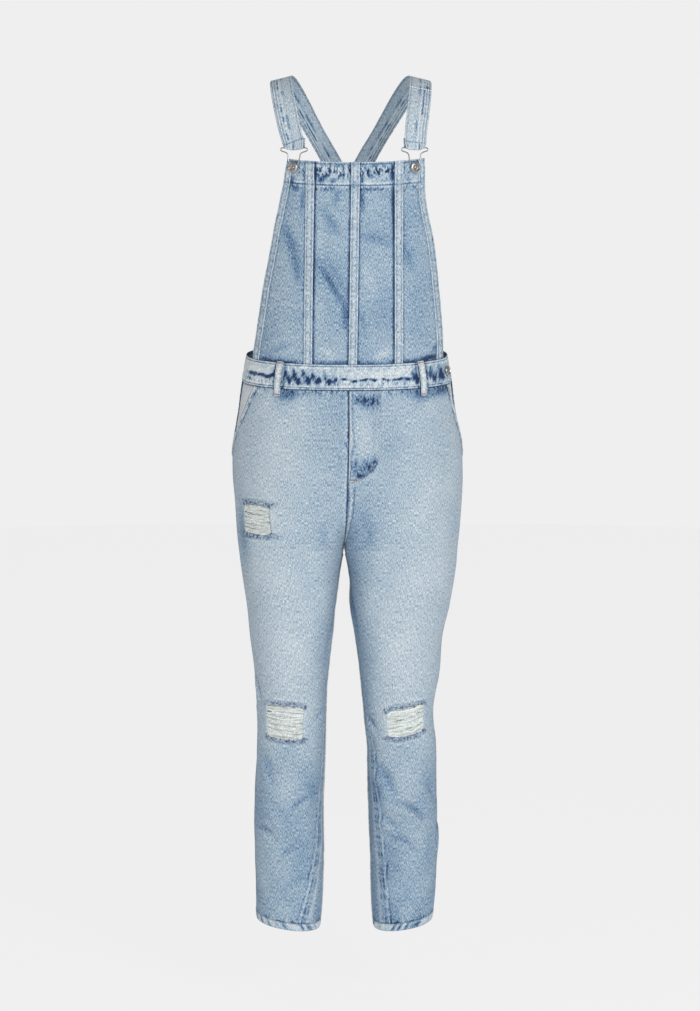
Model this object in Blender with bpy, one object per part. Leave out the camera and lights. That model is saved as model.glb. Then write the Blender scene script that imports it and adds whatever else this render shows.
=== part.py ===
"""Denim dungarees, filled out as if worn, in metres, +Z up, the front towards -Y.

The origin is midway between the two shoulder straps, at the underside of their tops,
where the shoulders hold the garment up. The wearer's left is +X. Every cloth piece is a
wall of real thickness, moved in or out from one smooth body form: a super-ellipse at
each level, whose half-widths, depths and clefts stand in the tables below.
"""
import math

import bpy
from mathutils import Vector

for old_object in list(bpy.data.objects):
    bpy.data.objects.remove(old_object, do_unlink=True)

# ---------------------------------------------------------------- driving dimensions

DENIM = 0.0014             # one layer of denim
BAND = 0.0024              # waistband, hems and straps, which are folded layers
SEAM_GAP = 0.0003          # clear space between two pieces
SQUARENESS = 2.25          # of the chest: 2 is an ellipse, more is squarer

WAIST_TOP = -0.4310        # levels at the side of the body
WAIST_SEAM = -0.4730
CROTCH = -0.7380
HEM_SEAM = -1.3450
HEM_EDGE = -1.3575

FLY_WIDTH, FLY_FOOT = 0.050, -0.6200
FELLED_SEAM = 0.0125       # width of a felled seam
POCKET_FOOT = -0.5930      # where the slanted mouth meets the side seam
POCKET_TOP_SHARE = {-1: 0.282, 1: 0.158}    # how far round from each side seam it starts
POCKET_HEM = 0.0085

LOOP_WIDTH, LOOP_STANDOFF = 0.0120, 0.0030
STRAP_FOLD = 0.0150        # length turned back behind the buckle's bar
WIRE = 0.0020              # buckle wire diameter
BUCKLE_DROP = 0.0300       # from the bar to the button's centre
BUTTON = 0.0165            # button diameter
PANEL_REACH = {-1: 0.272, 1: 0.276}    # how far round the even columns of a panel spread

# ------------------------------------------------------------------- shape tables
# The lower body. At each level: the outer edges of the two legs, the line that parts
# them (fork) and half the space between them (gap), how far they have parted (cleft: 0
# one torso, 1 two legs), the depth in front of and behind the middle, where that middle
# lies, the rise of the level towards the back and towards each outer side, and how
# square the section is on the outer and the inner side of a leg (2 is an ellipse).

BODY_COLUMNS = ("level", "right_out", "left_out", "fork", "gap", "cleft",
                "front", "back", "middle", "tilt_back", "tilt_out", "square", "square_in")
BODY_ROWS = (
    (-0.425, -0.1590, 0.1570, 0.0030, 0.0000, 0.00, 0.106, 0.092, 0.000, 0.085, 0.00, 2.25, 3.2),
    (-0.473, -0.1675, 0.1655, 0.0030, 0.0000, 0.00, 0.108, 0.099, 0.000, 0.070, 0.00, 2.25, 3.2),
    (-0.521, -0.1745, 0.1720, 0.0030, 0.0000, 0.00, 0.110, 0.108, 0.000, 0.060, 0.00, 2.25, 3.2),
    (-0.569, -0.1820, 0.1815, 0.0025, 0.0000, 0.08, 0.112, 0.116, 0.000, 0.050, 0.00, 2.25, 3.2),
    (-0.620, -0.1830, 0.1840, 0.0015, 0.0000, 0.36, 0.112, 0.120, 0.001, 0.040, 0.00, 2.25, 3.2),
    (-0.665, -0.1795, 0.1825, 0.0000, 0.0000, 0.65, 0.110, 0.119, 0.003, 0.030, 0.00, 2.25, 3.2),
    (-0.700, -0.1775, 0.1800, -0.0025, 0.0000, 0.85, 0.107, 0.115, 0.006, 0.015, 0.00, 2.25, 3.2),
    (-0.722, -0.1760, 0.1780, -0.0043, 0.0000, 0.95, 0.104, 0.111, 0.008, 0.006, 0.00, 2.25, 3.2),
    (-0.738, -0.1745, 0.1765, -0.0055, 0.0000, 1.00, 0.101, 0.107, 0.010, 0.000, 0.00, 2.25, 3.2),
    (-0.775, -0.1705, 0.1740, -0.0050, 0.0070, 1.00, 0.095, 0.100, 0.010, 0.000, 0.00, 2.25, 3.0),
    (-0.835, -0.1620, 0.1640, -0.0065, 0.0135, 1.00, 0.083, 0.090, 0.007, 0.000, 0.02, 2.25, 2.7),
    (-0.884, -0.1570, 0.1535, -0.0065, 0.0200, 1.00, 0.074, 0.081, 0.005, 0.010, 0.04, 2.20, 2.4),
    (-0.945, -0.1495, 0.1485, -0.0055, 0.0265, 1.00, 0.067, 0.071, 0.003, 0.020, 0.05, 2.20, 2.2),
    (-1.007, -0.1465, 0.1380, -0.0040, 0.0315, 1.00, 0.063, 0.064, 0.002, 0.030, 0.06, 2.20, 2.2),
    (-1.070, -0.1460, 0.1430, -0.0020, 0.0345, 1.00, 0.060, 0.064, 0.005, 0.040, 0.08, 2.20, 2.2),
    (-1.150, -0.1505, 0.1445, -0.0030, 0.0365, 1.00, 0.058, 0.064, 0.010, 0.055, 0.10, 2.20, 2.2),
    (-1.230, -0.1510, 0.1460, -0.0010, 0.0380, 1.00, 0.054, 0.060, 0.012, 0.070, 0.12, 2.20, 2.2),
    (-1.300, -0.1500, 0.1435, -0.0010, 0.0395, 1.00, 0.051, 0.055, 0.012, 0.080, 0.14, 2.20, 2.2),
    (-1.365, -0.1490, 0.1385, -0.0015, 0.0435, 1.00, 0.050, 0.052, 0.012, 0.090, 0.15, 2.20, 2.2),
)

# The bib, on the chest of the same body. Its two edges and three seams by their x, the
# chest's centre, half-width and depth, and the rise of the level towards the back.

BIB_COLUMNS = ("level", "edge_right", "seam_right", "seam_middle", "seam_left",
               "edge_left", "centre", "half_width", "front", "tilt_back")
BIB_ROWS = (
    (-0.1046, -0.0925, -0.0507, 0.0062, 0.0728, 0.1185, 0.0100, 0.150, 0.1150, 0.200),
    (-0.1720, -0.1045, -0.0516, 0.0053, 0.0729, 0.1220, 0.0085, 0.150, 0.1180, 0.170),
    (-0.2450, -0.1190, -0.0526, 0.0043, 0.0730, 0.1350, 0.0060, 0.152, 0.1180, 0.140),
    (-0.3185, -0.1320, -0.0535, 0.0033, 0.0731, 0.1430, 0.0030, 0.155, 0.1145, 0.110),
    (-0.3920, -0.1430, -0.0544, 0.0023, 0.0732, 0.1495, 0.0010, 0.158, 0.1095, 0.095),
    (-0.4307, -0.1485, -0.0548, 0.0017, 0.0733, 0.1500, -0.0005, 0.159, 0.1060, 0.085),
)

# The back bib: half its width and the depth of the back at each level.

BACK_COLUMNS = ("level", "half_width", "body", "back", "tilt_back")
BACK_ROWS = (
    (-0.1560, 0.0360, 0.150, 0.1080, 0.085),
    (-0.2000, 0.0410, 0.150, 0.1060, 0.085),
    (-0.2700, 0.0570, 0.152, 0.1010, 0.085),
    (-0.3400, 0.0830, 0.155, 0.0950, 0.085),
    (-0.4000, 0.1120, 0.158, 0.0920, 0.085),
    (-0.4307, 0.1270, 0.159, 0.0920, 0.085),
)

# The underside of a strap from above its buckle, over the shoulder, down to the back
# bib: depth, height, distance from the middle line, where that line lies, width, how
# far the outer edge is turned back (yaw, degrees) and dropped (roll, degrees), and how
# much the row is cut level with the ground instead of square to the strap.

STRAP_COLUMNS = ("y", "z", "spread", "lean", "width", "yaw", "roll", "level_cut")
STRAP_ROWS = (
    (-0.0990, -0.0980, 0.0940, 0.0093, 0.0360, 20.0, 0.0, 0.0),
    (-0.0940, -0.0750, 0.0975, 0.0083, 0.0360, 17.0, 2.0, 0.0),
    (-0.0840, -0.0510, 0.1018, 0.0072, 0.0360, 13.0, 5.0, 0.0),
    (-0.0660, -0.0270, 0.1058, 0.0061, 0.0355, 8.0, 9.0, 0.0),
    (-0.0450, -0.0115, 0.1080, 0.0055, 0.0350, 3.0, 12.0, 0.0),
    (-0.0220, -0.0030, 0.1090, 0.0050, 0.0345, 0.0, 14.0, 0.0),
    (0.0020, 0.0000, 0.1068, 0.0046, 0.0340, -4.0, 14.0, 0.0),
    (0.0270, -0.0035, 0.1015, 0.0040, 0.0335, -10.0, 13.0, 0.0),
    (0.0530, -0.0170, 0.0915, 0.0032, 0.0330, -18.0, 11.0, 0.0),
    (0.0760, -0.0400, 0.0770, 0.0024, 0.0325, -25.0, 8.0, 0.0),
    (0.0920, -0.0680, 0.0610, 0.0017, 0.0320, -28.0, 5.0, 0.0),
    (0.1010, -0.0960, 0.0448, 0.0012, 0.0315, -27.0, 2.0, 0.0),
    (0.1055, -0.1210, 0.0305, 0.0010, 0.0310, -20.0, 0.0, 0.3),
    (0.1070, -0.1462, 0.0180, 0.0010, 0.0310, -6.0, 0.0, 1.0),
)

# Rips: which leg, top and bottom level, the two column lines of the front panel that
# bound it, and its rise towards the outer side.

RIP_COLUMNS = ("name", "side", "top", "bottom", "outer", "inner", "rise")
RIP_ROWS = (
    ("rip_thigh", -1, -0.6580, -0.7100, 0.270, 0.500, 0.00),
    ("rip_knee_right", -1, -0.9860, -1.0420, 0.270, 0.625, 0.00),
    ("rip_knee_left", 1, -0.9890, -1.0360, 0.270, 0.625, 0.17),
)

# The largest folds: leg side, half (-1 front, 1 back), level and share round at the
# middle, half-length across, half-height, the rise of the fold from inner to outer
# side, and how far it stands out (a trough is negative).

FOLD_COLUMNS = ("side", "half", "level", "share", "across", "height", "slope", "depth")
FOLD_ROWS = (
    (-1, -1, -0.955, 0.62, 0.50, 0.020, 0.10, -0.0035),
    (-1, -1, -1.128, 0.55, 0.55, 0.022, 0.30, -0.0040),
    (-1, -1, -1.182, 0.60, 0.50, 0.020, -0.25, -0.0035),
    (1, -1, -1.060, 0.62, 0.50, 0.022, -0.35, -0.0040),
    (1, -1, -1.150, 0.55, 0.55, 0.022, 0.25, -0.0040),
    (1, -1, -1.205, 0.45, 0.50, 0.020, -0.20, -0.0035),
    (-1, 1, -0.985, 0.50, 0.60, 0.022, 0.15, -0.0050),
    (-1, 1, -1.035, 0.55, 0.55, 0.020, -0.20, -0.0045),
    (1, 1, -0.990, 0.50, 0.60, 0.022, -0.15, -0.0050),
    (1, 1, -1.040, 0.45, 0.55, 0.020, 0.20, -0.0045),
    (-1, 1, -0.790, 0.55, 0.50, 0.034, 0.40, -0.0045),
    (1, 1, -0.796, 0.55, 0.50, 0.034, 0.40, -0.0045),
)

# ----------------------------------------------------------------------- materials


def make_material(name, hex_colour, roughness, metallic=0.0):
    """A Principled BSDF with one colour, given as sRGB hex."""
    channels = [int(hex_colour[i:i + 2], 16) / 255 for i in (0, 2, 4)]
    linear = [c / 12.92 if c <= 0.04045 else ((c + 0.055) / 1.055) ** 2.4 for c in channels]
    material = bpy.data.materials.new(name)
    material.use_nodes = True
    shader = material.node_tree.nodes["Principled BSDF"]
    shader.inputs["Base Color"].default_value = (*linear, 1.0)
    shader.inputs["Roughness"].default_value = roughness
    shader.inputs["Metallic"].default_value = metallic
    return material


LEG_DENIM = make_material("leg_denim", "AEBFCC", 0.9)
BIB_DENIM = make_material("bib_denim", "93AFC7", 0.9)
SEAM_DENIM = make_material("seam_denim", "BCCAD4", 0.9)
WEFT_YARN = make_material("weft_yarn", "E2E5DF", 0.95)
STEEL = make_material("buckle_steel", "B9BABC", 0.35, 1.0)
COPPER = make_material("button_copper", "B59684", 0.4, 1.0)

# ------------------------------------------------------------------ tables to forms


class Row:
    """One row of a table, its columns read by name."""

    def __init__(self, columns, values):
        self.__dict__.update(zip(columns, values))


class Table:
    """A table whose columns are read at any level by a smooth curve through its rows."""

    def __init__(self, columns, rows):
        self.columns = columns
        self.rows = sorted(rows)

    def at(self, level):
        rows = self.rows
        index = 0
        while index < len(rows) - 2 and level > rows[index + 1][0]:
            index += 1
        before, low = rows[max(index - 1, 0)], rows[index]
        high, after = rows[index + 1], rows[min(index + 2, len(rows) - 1)]
        span = high[0] - low[0]
        t = (level - low[0]) / span
        values = [level]
        for column in range(1, len(self.columns)):
            slope_low = span * (high[column] - before[column]) / (high[0] - before[0])
            slope_high = span * (after[column] - low[column]) / (after[0] - low[0])
            values.append(low[column] * (2 * t**3 - 3 * t**2 + 1)
                          + slope_low * (t**3 - 2 * t**2 + t)
                          + high[column] * (3 * t**2 - 2 * t**3)
                          + slope_high * (t**3 - t**2))
        return Row(self.columns, values)


BODY = Table(BODY_COLUMNS, BODY_ROWS)
BIB = Table(BIB_COLUMNS, BIB_ROWS)
BACK = Table(BACK_COLUMNS, BACK_ROWS)
FOLDS = [Row(FOLD_COLUMNS, values) for values in FOLD_ROWS]
RIPS = [Row(RIP_COLUMNS, values) for values in RIP_ROWS]


def signed_power(value, power):
    """Raise the size of a value to a power and keep its sign."""
    return math.copysign(abs(value) ** power, value)


def body_point(side, turn, level):
    """A point on the body form. side is -1 on the wearer's right and 1 on the left;
    turn runs from -1 (front inner edge) through 0 (side seam) to 1 (back inner edge)."""
    row = BODY.at(level)
    inner = row.fork + side * max(row.gap, SEAM_GAP / 2)
    outer = row.left_out if side > 0 else row.right_out
    cleft = min(max(row.cleft, 0.0), 1.0)
    half_width = abs(outer - inner) / (1 + cleft)
    centre = inner + side * half_width * cleft
    reach = math.pi - math.acos(cleft ** (row.square_in / 2))
    angle = turn * reach
    power = 2 / (row.square if abs(angle) < math.pi / 2 else row.square_in)
    out = half_width * signed_power(math.cos(angle), power)
    depth = row.front if angle < 0 else row.back
    back = row.middle + depth * signed_power(math.sin(angle), power)
    height = level + row.tilt_back * back + row.tilt_out * out
    return Vector((centre + side * out, back, height))


lengths_round = {}


def round_lengths(side, half, level):
    """The lengths from the side seam round one half of a leg to 40 even turns."""
    key = (side, half, round(level, 6))
    if key not in lengths_round:
        points = [body_point(side, half * turn, level) for turn in span(0.0, 1.0, 40)]
        lengths = [0.0]
        for near, far in zip(points, points[1:]):
            lengths.append(lengths[-1] + (far - near).length)
        lengths_round[key] = lengths
    return lengths_round[key]


def panel_lengths(side, half, level):
    """How much of a panel's width its even columns share, and how much its inner
    columns take besides, where the cloth reaches in below the crotch."""
    length = round_lengths(side, half, level)[-1]
    even = min(length, PANEL_REACH[half])
    return even, length - even


def turn_at(side, half, share, level):
    """The turn at a share of the way round a panel, from side seam to inner edge."""
    lengths = round_lengths(side, half, level)
    even, extra = panel_lengths(side, half, level)
    wanted = share * even + share ** 5 * extra
    index = 0
    while index < len(lengths) - 2 and wanted > lengths[index + 1]:
        index += 1
    part = (wanted - lengths[index]) / (lengths[index + 1] - lengths[index])
    return half * (index + part) / (len(lengths) - 1)


def share_from_inside(side, half, distance, level):
    """The share that lies a distance short of a panel's inner edge."""
    even, extra = panel_lengths(side, half, level)
    return 1 - distance / (even + 5 * extra)


def fold_depth(side, half, share, level):
    """How far the large folds move a point of a leg out (negative is in)."""
    total = 0.0
    for fold in FOLDS:
        if fold.side != side or fold.half != half:
            continue
        across = (share - fold.share) / fold.across
        line = fold.level - fold.slope * (share - fold.share) * 0.10
        up = (level - line) / fold.height
        if abs(across) < 1:
            fade = (1 - across * across) ** 2
            total += fold.depth * fade * (math.exp(-up * up) - 0.45 * math.exp(-(up / 2)**2))
    return total


def panel_spot(side, half, share, level):
    """The point of a leg panel at a share round and a level, and its normal."""
    turn = turn_at(side, half, share, level)
    normal = body_normal(side, turn, level)
    return body_point(side, turn, level) + normal * fold_depth(side, half, share, level), normal


def bib_point(x, level, front=True):
    """A point on the chest in front, or on the back, at one x."""
    if front:
        row = BIB.at(level)
        share = min(abs(x - row.centre) / row.half_width, 0.995)
        back = -row.front * (1 - share ** SQUARENESS) ** (1 / SQUARENESS)
    else:
        row = BACK.at(level)
        share = min(abs(x) / row.body, 0.995)
        back = row.back * (1 - share ** SQUARENESS) ** (1 / SQUARENESS)
    return Vector((x, back, level + row.tilt_back * back))


def normal_of(form, across, level, sign):
    """The outward normal of a form at (across, level), from its own slopes."""
    step_across, step_level = 1e-3, 1e-4
    along = form(across + step_across, level) - form(across - step_across, level)
    up = form(across, level + step_level) - form(across, level - step_level)
    return (along.cross(up) * sign).normalized()


def body_normal(side, turn, level):
    return normal_of(lambda t, z: body_point(side, t, z), turn, level, side)


def chest_normal(x, level, front=True):
    return normal_of(lambda a, z: bib_point(a, z, front), x, level, 1 if front else -1)


def span(start, stop, count):
    """count + 1 evenly spaced values from start to stop."""
    return [start + (stop - start) * index / count for index in range(count + 1)]


# --------------------------------------------------------------------- wall making


def add_object(name, vertices, faces, material):
    """A named object from points and faces, its faces turned out, shaded smooth."""
    mesh = bpy.data.meshes.new(name)
    mesh.from_pydata([tuple(v) for v in vertices], [], faces)
    mesh.materials.append(material)
    mesh.validate()
    mesh.update()
    volume = 0.0
    for polygon in mesh.polygons:
        corners = [mesh.vertices[i].co for i in polygon.vertices]
        for index in range(1, len(corners) - 1):
            volume += corners[0].dot(corners[index].cross(corners[index + 1]))
    if volume < 0:
        mesh.flip_normals()
    mesh.shade_smooth()
    mesh.set_sharp_from_angle(angle=math.radians(40))
    item = bpy.data.objects.new(name, mesh)
    bpy.context.scene.collection.objects.link(item)
    return item


def wall(name, outer, inner, material, closed=False, holes=()):
    """A closed wall between two equal grids of points (rows of columns). closed joins
    the last column to the first. holes are (row, column) cells that are left open."""
    rows, columns = len(outer), len(outer[0])
    around = columns if closed else columns - 1
    vertices = [p for line in outer for p in line] + [p for line in inner for p in line]
    offset = rows * columns

    def corner(row, column):
        return row * columns + column % columns

    cells = {(r, c) for r in range(rows - 1) for c in range(around)} - set(holes)
    faces = []
    for row, column in sorted(cells):
        quad = (corner(row, column), corner(row, column + 1),
                corner(row + 1, column + 1), corner(row + 1, column))
        faces.append(quad)
        faces.append(tuple(offset + quad[i] for i in (0, 3, 2, 1)))
        neighbours = ((row - 1, column), (row, column + 1), (row + 1, column), (row, column - 1))
        for index, (near_row, near_column) in enumerate(neighbours):
            near = (near_row, near_column % around if closed else near_column)
            if near not in cells:
                start, end = quad[index], quad[(index + 1) % 4]
                faces.append((end, start, start + offset, end + offset))
    used = sorted({i for face in faces for i in face})
    place = {old: new for new, old in enumerate(used)}
    vertices = [vertices[i] for i in used]
    faces = [tuple(place[i] for i in face) for face in faces]
    return add_object(name, vertices, faces, material)


def moved(points, normals, distance):
    """A grid of points moved out along its normals."""
    return [[p + n * distance for p, n in zip(line, turned)]
            for line, turned in zip(points, normals)]


class Panel:
    """A cloth panel's outer points and normals on a grid, which what lies on it reads."""

    def __init__(self, lines):
        """lines: (values across, level, points, normals), from the top down."""
        self.lines = lines
        self.points = [line[2] for line in lines]
        self.normals = [line[3] for line in lines]

    def build(self, name, thickness, material, holes=(), lift=0.0):
        outer = moved(self.points, self.normals, lift)
        inner = moved(self.points, self.normals, lift - thickness)
        return wall(name, outer, inner, material, holes=holes)

    def at(self, across, level, out):
        """The point at (across, level) of the panel's flat facets, moved out."""
        row = 0
        while row < len(self.lines) - 2 and level < self.lines[row + 1][1]:
            row += 1
        found = []
        for values, _, points, normals in self.lines[row:row + 2]:
            column = 0
            rising = values[-1] > values[0]
            while (column < len(values) - 2
                   and (across > values[column + 1]) == rising
                   and across != values[column + 1]):
                column += 1
            share = (across - values[column]) / (values[column + 1] - values[column])
            found.append((points[column].lerp(points[column + 1], share),
                          normals[column].lerp(normals[column + 1], share)))
        top, bottom = self.lines[row][1], self.lines[row + 1][1]
        share = (level - top) / (bottom - top)
        point = found[0][0].lerp(found[1][0], share)
        normal = found[0][1].lerp(found[1][1], share).normalized()
        return point + normal * out

    def overlay(self, name, across_lines, levels, lift, thickness, material):
        """A strip on this panel: across_lines give, at a level, the across values."""
        outer = [[self.at(a, level, lift + thickness) for a in across_lines(level)]
                 for level in levels]
        inner = [[self.at(a, level, lift) for a in across_lines(level)] for level in levels]
        return wall(name, outer, inner, material)

    def values_at(self, level):
        """The across values of the panel's own columns at a level."""
        row = 0
        while row < len(self.lines) - 2 and level < self.lines[row + 1][1]:
            row += 1
        top, bottom = self.lines[row], self.lines[row + 1]
        share = (level - top[1]) / (bottom[1] - top[1])
        return [a + (b - a) * share for a, b in zip(top[0], bottom[0])]

    def levels_between(self, top, bottom):
        """The panel's own levels inside a stretch, with the stretch's two ends."""
        inside = [line[1] for line in self.lines if bottom + 0.004 < line[1] < top - 0.004]
        return [top] + inside + [bottom]


# ---------------------------------------------------------------------- leg panels

# The column lines of a leg panel between its mouth hem (0) and its felled seam (1). Those
# of the front panels also bound the rips.
FRONT_SHARES = [0.0, 0.090, 0.180, 0.270, 0.385, 0.500, 0.625, 0.745, 0.872, 1.0]
BACK_SHARES = span(0.0, 1.0, 9)


def pocket_share(side, level):
    """Where the pocket mouth crosses a level, as a share round from the side seam."""
    share = (level - POCKET_FOOT) / (WAIST_SEAM - POCKET_FOOT)
    return POCKET_TOP_SHARE[side] * max(share, 0.0) ** 0.9


def rip_cells(side):
    return [rip for rip in RIPS if rip.side == side]


def leg_levels(side):
    """Row levels of a leg panel, with a line at the top and bottom of each rip."""
    levels = [WAIST_SEAM - SEAM_GAP * 1.4]
    levels += [-0.500, -0.530, -0.562, POCKET_FOOT, -0.620, -0.640]
    levels += [-0.658, -0.684, -0.710, -0.7245, CROTCH, -0.752]
    levels += span(-0.775, -0.9675, 8)
    if side < 0:
        levels += [-0.986, -1.014, -1.042]
    else:
        levels += [-0.989, -1.0125, -1.036]
    levels += span(-1.062, -1.322, 12)
    levels += [HEM_SEAM]
    return levels


def rip_lift(side, share, level):
    """How far a level is raised so that a slanted rip's edges follow its slant."""
    lift = 0.0
    for rip in rip_cells(side):
        middle = (rip.top + rip.bottom) / 2
        near = max(0.0, 1 - abs(level - middle) / 0.075)
        across = (rip.outer + rip.inner) / 2 - share
        lift += rip.rise * across * 0.2 * near
    return lift


def leg_panel(side, half):
    """The grid of one leg panel, front (half -1) or back (half 1)."""
    shares = FRONT_SHARES if half < 0 else BACK_SHARES
    lines = []
    for level in leg_levels(side):
        length = round_lengths(side, half, level)[-1]
        strip_edge = share_from_inside(side, half, FELLED_SEAM, level)
        start = SEAM_GAP / 2 / length
        if half < 0 and level > POCKET_FOOT:
            start = max(pocket_share(side, level), start)
        after_hem = start + POCKET_HEM / length if half < 0 else start
        values = [after_hem + (strip_edge - after_hem) * share for share in shares]
        values.append(share_from_inside(side, half, SEAM_GAP / 2, level))
        if half < 0:
            values.insert(0, start)
        heights = [level + (rip_lift(side, share, level) if half < 0 else 0.0)
                   for share in values]
        spots = [panel_spot(side, half, share, height) for share, height in zip(values, heights)]
        points, normals = zip(*spots)
        lines.append((values, level, points, normals))
    return Panel(lines)


def rip_holes(side, panel):
    """The cells of a front panel that its rips leave open."""
    shares = [-1.0] + FRONT_SHARES
    levels = [line[1] for line in panel.lines]
    holes = []
    for rip in rip_cells(side):
        for row in range(len(levels) - 1):
            for column in range(len(shares) - 1):
                inside_level = rip.bottom - 1e-4 < levels[row + 1] < levels[row] < rip.top + 1e-4
                outer, inner = shares[column], shares[column + 1]
                if inside_level and rip.outer - 1e-4 < outer and inner < rip.inner + 1e-4:
                    holes.append((row, column))
    return holes


def rip_yarns(rip, panel):
    """The weft threads left across a rip, as one thin ribbed sheet in its hole."""
    shares = [-1.0] + FRONT_SHARES
    columns = [i for i, s in enumerate(shares) if rip.outer - 1e-4 < s < rip.inner + 1e-4]
    rows = [i for i, line in enumerate(panel.lines)
            if rip.bottom - 1e-4 < line[1] < rip.top + 1e-4]
    height = rip.top - rip.bottom
    width = (panel.points[rows[0]][columns[0]] - panel.points[rows[0]][columns[-1]]).length
    inset_up, inset_across = 0.0005 / height, 0.0005 / width
    count = round(height / 0.0035 / 2) * 2
    outer, inner = [], []
    for index, up in enumerate(span(inset_up, 1 - inset_up, count)):
        place = rows[0] + up * (len(rows) - 1)
        row = min(int(place), rows[-1] - 1)
        share_up = place - row
        rib = 0.0 if index % 2 else -0.0006
        outer_line, inner_line = [], []
        for across in span(inset_across, 1 - inset_across, len(columns) - 1):
            spot = columns[0] + across * (len(columns) - 1)
            column = min(int(spot), columns[-1] - 1)
            share = spot - column
            top = panel.points[row][column].lerp(panel.points[row][column + 1], share)
            low = panel.points[row + 1][column].lerp(panel.points[row + 1][column + 1], share)
            normal = panel.normals[row][column].lerp(panel.normals[row + 1][column + 1], 0.5)
            point = top.lerp(low, share_up)
            outer_line.append(point + normal * (rib - 0.0001))
            inner_line.append(point + normal * (rib - 0.0008))
        outer.append(outer_line)
        inner.append(inner_line)
    wall(rip.name, outer, inner, WEFT_YARN)


panels = {}
for leg_side, side_name in ((-1, "right"), (1, "left")):
    front_panel = leg_panel(leg_side, -1)
    back_panel = leg_panel(leg_side, 1)
    panels["front", leg_side] = front_panel
    panels["back", leg_side] = back_panel
    front_panel.build("front_" + side_name, DENIM, LEG_DENIM,
                      holes=rip_holes(leg_side, front_panel))
    back_panel.build("back_" + side_name, DENIM, LEG_DENIM)
    for rip_row in rip_cells(leg_side):
        rip_yarns(rip_row, front_panel)

# ------------------------------------------------- pockets, fly and the felled seams


def pocket(side, side_name):
    """The facing behind a slanted pocket mouth, and the mouth's folded hem."""
    levels = [WAIST_SEAM - SEAM_GAP * 1.4, -0.500, -0.530, -0.562, POCKET_FOOT, -0.606]
    outer, inner = [], []
    for level in levels:
        margin = SEAM_GAP / round_lengths(side, -1, level)[-1]
        outer_line, inner_line = [], []
        for share in span(margin, pocket_share(side, level) + 0.10, 4):
            point, normal = panel_spot(side, -1, share, level)
            outer_line.append(point - normal * 0.0030)
            inner_line.append(point - normal * (0.0030 + DENIM))
        outer.append(outer_line)
        inner.append(inner_line)
    wall("pocket_facing_" + side_name, outer, inner, LEG_DENIM)

    rows = slice(0, len(levels) - 1)
    strip_over(panels["front", side], "pocket_hem_" + side_name, rows, slice(0, 2))


STRIP = 0.0010             # thickness of a felled seam or turned edge over its panel
STRIP_SHORT = 0.04         # share of its end cells by which a strip stops short


def strip_over(panel, name, rows, columns):
    """A strip over whole cells of a panel, in the panel's own rows and columns."""
    points = [line[columns] for line in panel.points[rows]]
    normals = [line[columns] for line in panel.normals[rows]]
    points[0] = [a.lerp(b, STRIP_SHORT) for a, b in zip(points[0], points[1])]
    points[-1] = [a.lerp(b, STRIP_SHORT) for a, b in zip(points[-1], points[-2])]
    wall(name, moved(points, normals, SEAM_GAP + STRIP), moved(points, normals, SEAM_GAP),
         SEAM_DENIM)


def edge_strip(name, panel, side, half, top, bottom, width):
    """A felled seam of even width along the inner edge of a leg panel. Where the two
    legs turn towards each other it keeps back, so that its face stays on its own side."""
    def across(level):
        normal = panel_spot(side, half, 0.98, level)[1]
        turned = (STRIP + SEAM_GAP) * abs(normal.x) / max(abs(normal.y), 0.3)
        return (share_from_inside(side, half, width, level),
                share_from_inside(side, half, SEAM_GAP * 1.5 + turned, level))

    panel.overlay(name, across, panel.levels_between(top, bottom), SEAM_GAP, STRIP, SEAM_DENIM)


for leg_side, side_name in ((-1, "right"), (1, "left")):
    pocket(leg_side, side_name)
    edge_strip("inseam_" + side_name, panels["front", leg_side], leg_side, -1,
               -0.752, HEM_SEAM + 0.0006, FELLED_SEAM * 0.9)

edge_strip("rise_seam_front", panels["front", 1], 1, -1, FLY_FOOT - 0.010, -0.7245, 0.0110)
edge_strip("rise_seam_back", panels["back", 1], 1, 1, WAIST_SEAM - 0.001, -0.7245, FELLED_SEAM)


def fly():
    """The fly: a J-shaped placket on the left front, its edge on the middle line."""
    front = panels["front", 1]
    levels = front.levels_between(WAIST_SEAM - 0.001, FLY_FOOT)
    curve_top = FLY_FOOT + 0.055

    def across(level):
        length = round_lengths(1, -1, level)[-1]
        width = FLY_WIDTH
        if level < curve_top:
            drop = (curve_top - level) / (curve_top - FLY_FOOT)
            width *= max(math.sqrt(max(1 - drop * drop, 0.0)), 0.22)
        # the fly bends where the panel under it does
        outer_edge, least = 1 - width / length, 0.0006 / length
        bends = [max(value, outer_edge + least * (index + 1))
                 for index, value in enumerate(front.values_at(level)[-4:-1])]
        return [outer_edge] + bends + [1 - SEAM_GAP / length]

    levels = sorted(set(levels + [curve_top - 0.018, curve_top - 0.038]), reverse=True)
    front.overlay("fly", across, levels, SEAM_GAP * 2, STRIP, SEAM_DENIM)


fly()

# ---------------------------------------------------------- waistband and belt loops

TAB_END, TAB_LAP, TAB_RAMP = -15.0, -25.0, -31.0      # degrees round from the left side
BAND_LIFT = 0.0005


def band_grid(stations, top, bottom):
    """Points and normals of a band. stations: (side, degrees from the side seam, lift)."""
    points, normals = [], []
    for level in (top, (top + bottom) / 2, bottom):
        line, turned = [], []
        for side, degrees, lift in stations:
            turn = degrees / 90.0
            normal = body_normal(side, turn, level)
            line.append(body_point(side, turn, level) + normal * lift)
            turned.append(normal)
        points.append(line)
        normals.append(turned)
    return points, normals


def build_band(name, stations, top, bottom, material):
    points, normals = band_grid(stations, top, bottom)
    wall(name, points, moved(points, normals, -BAND), material)


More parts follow.
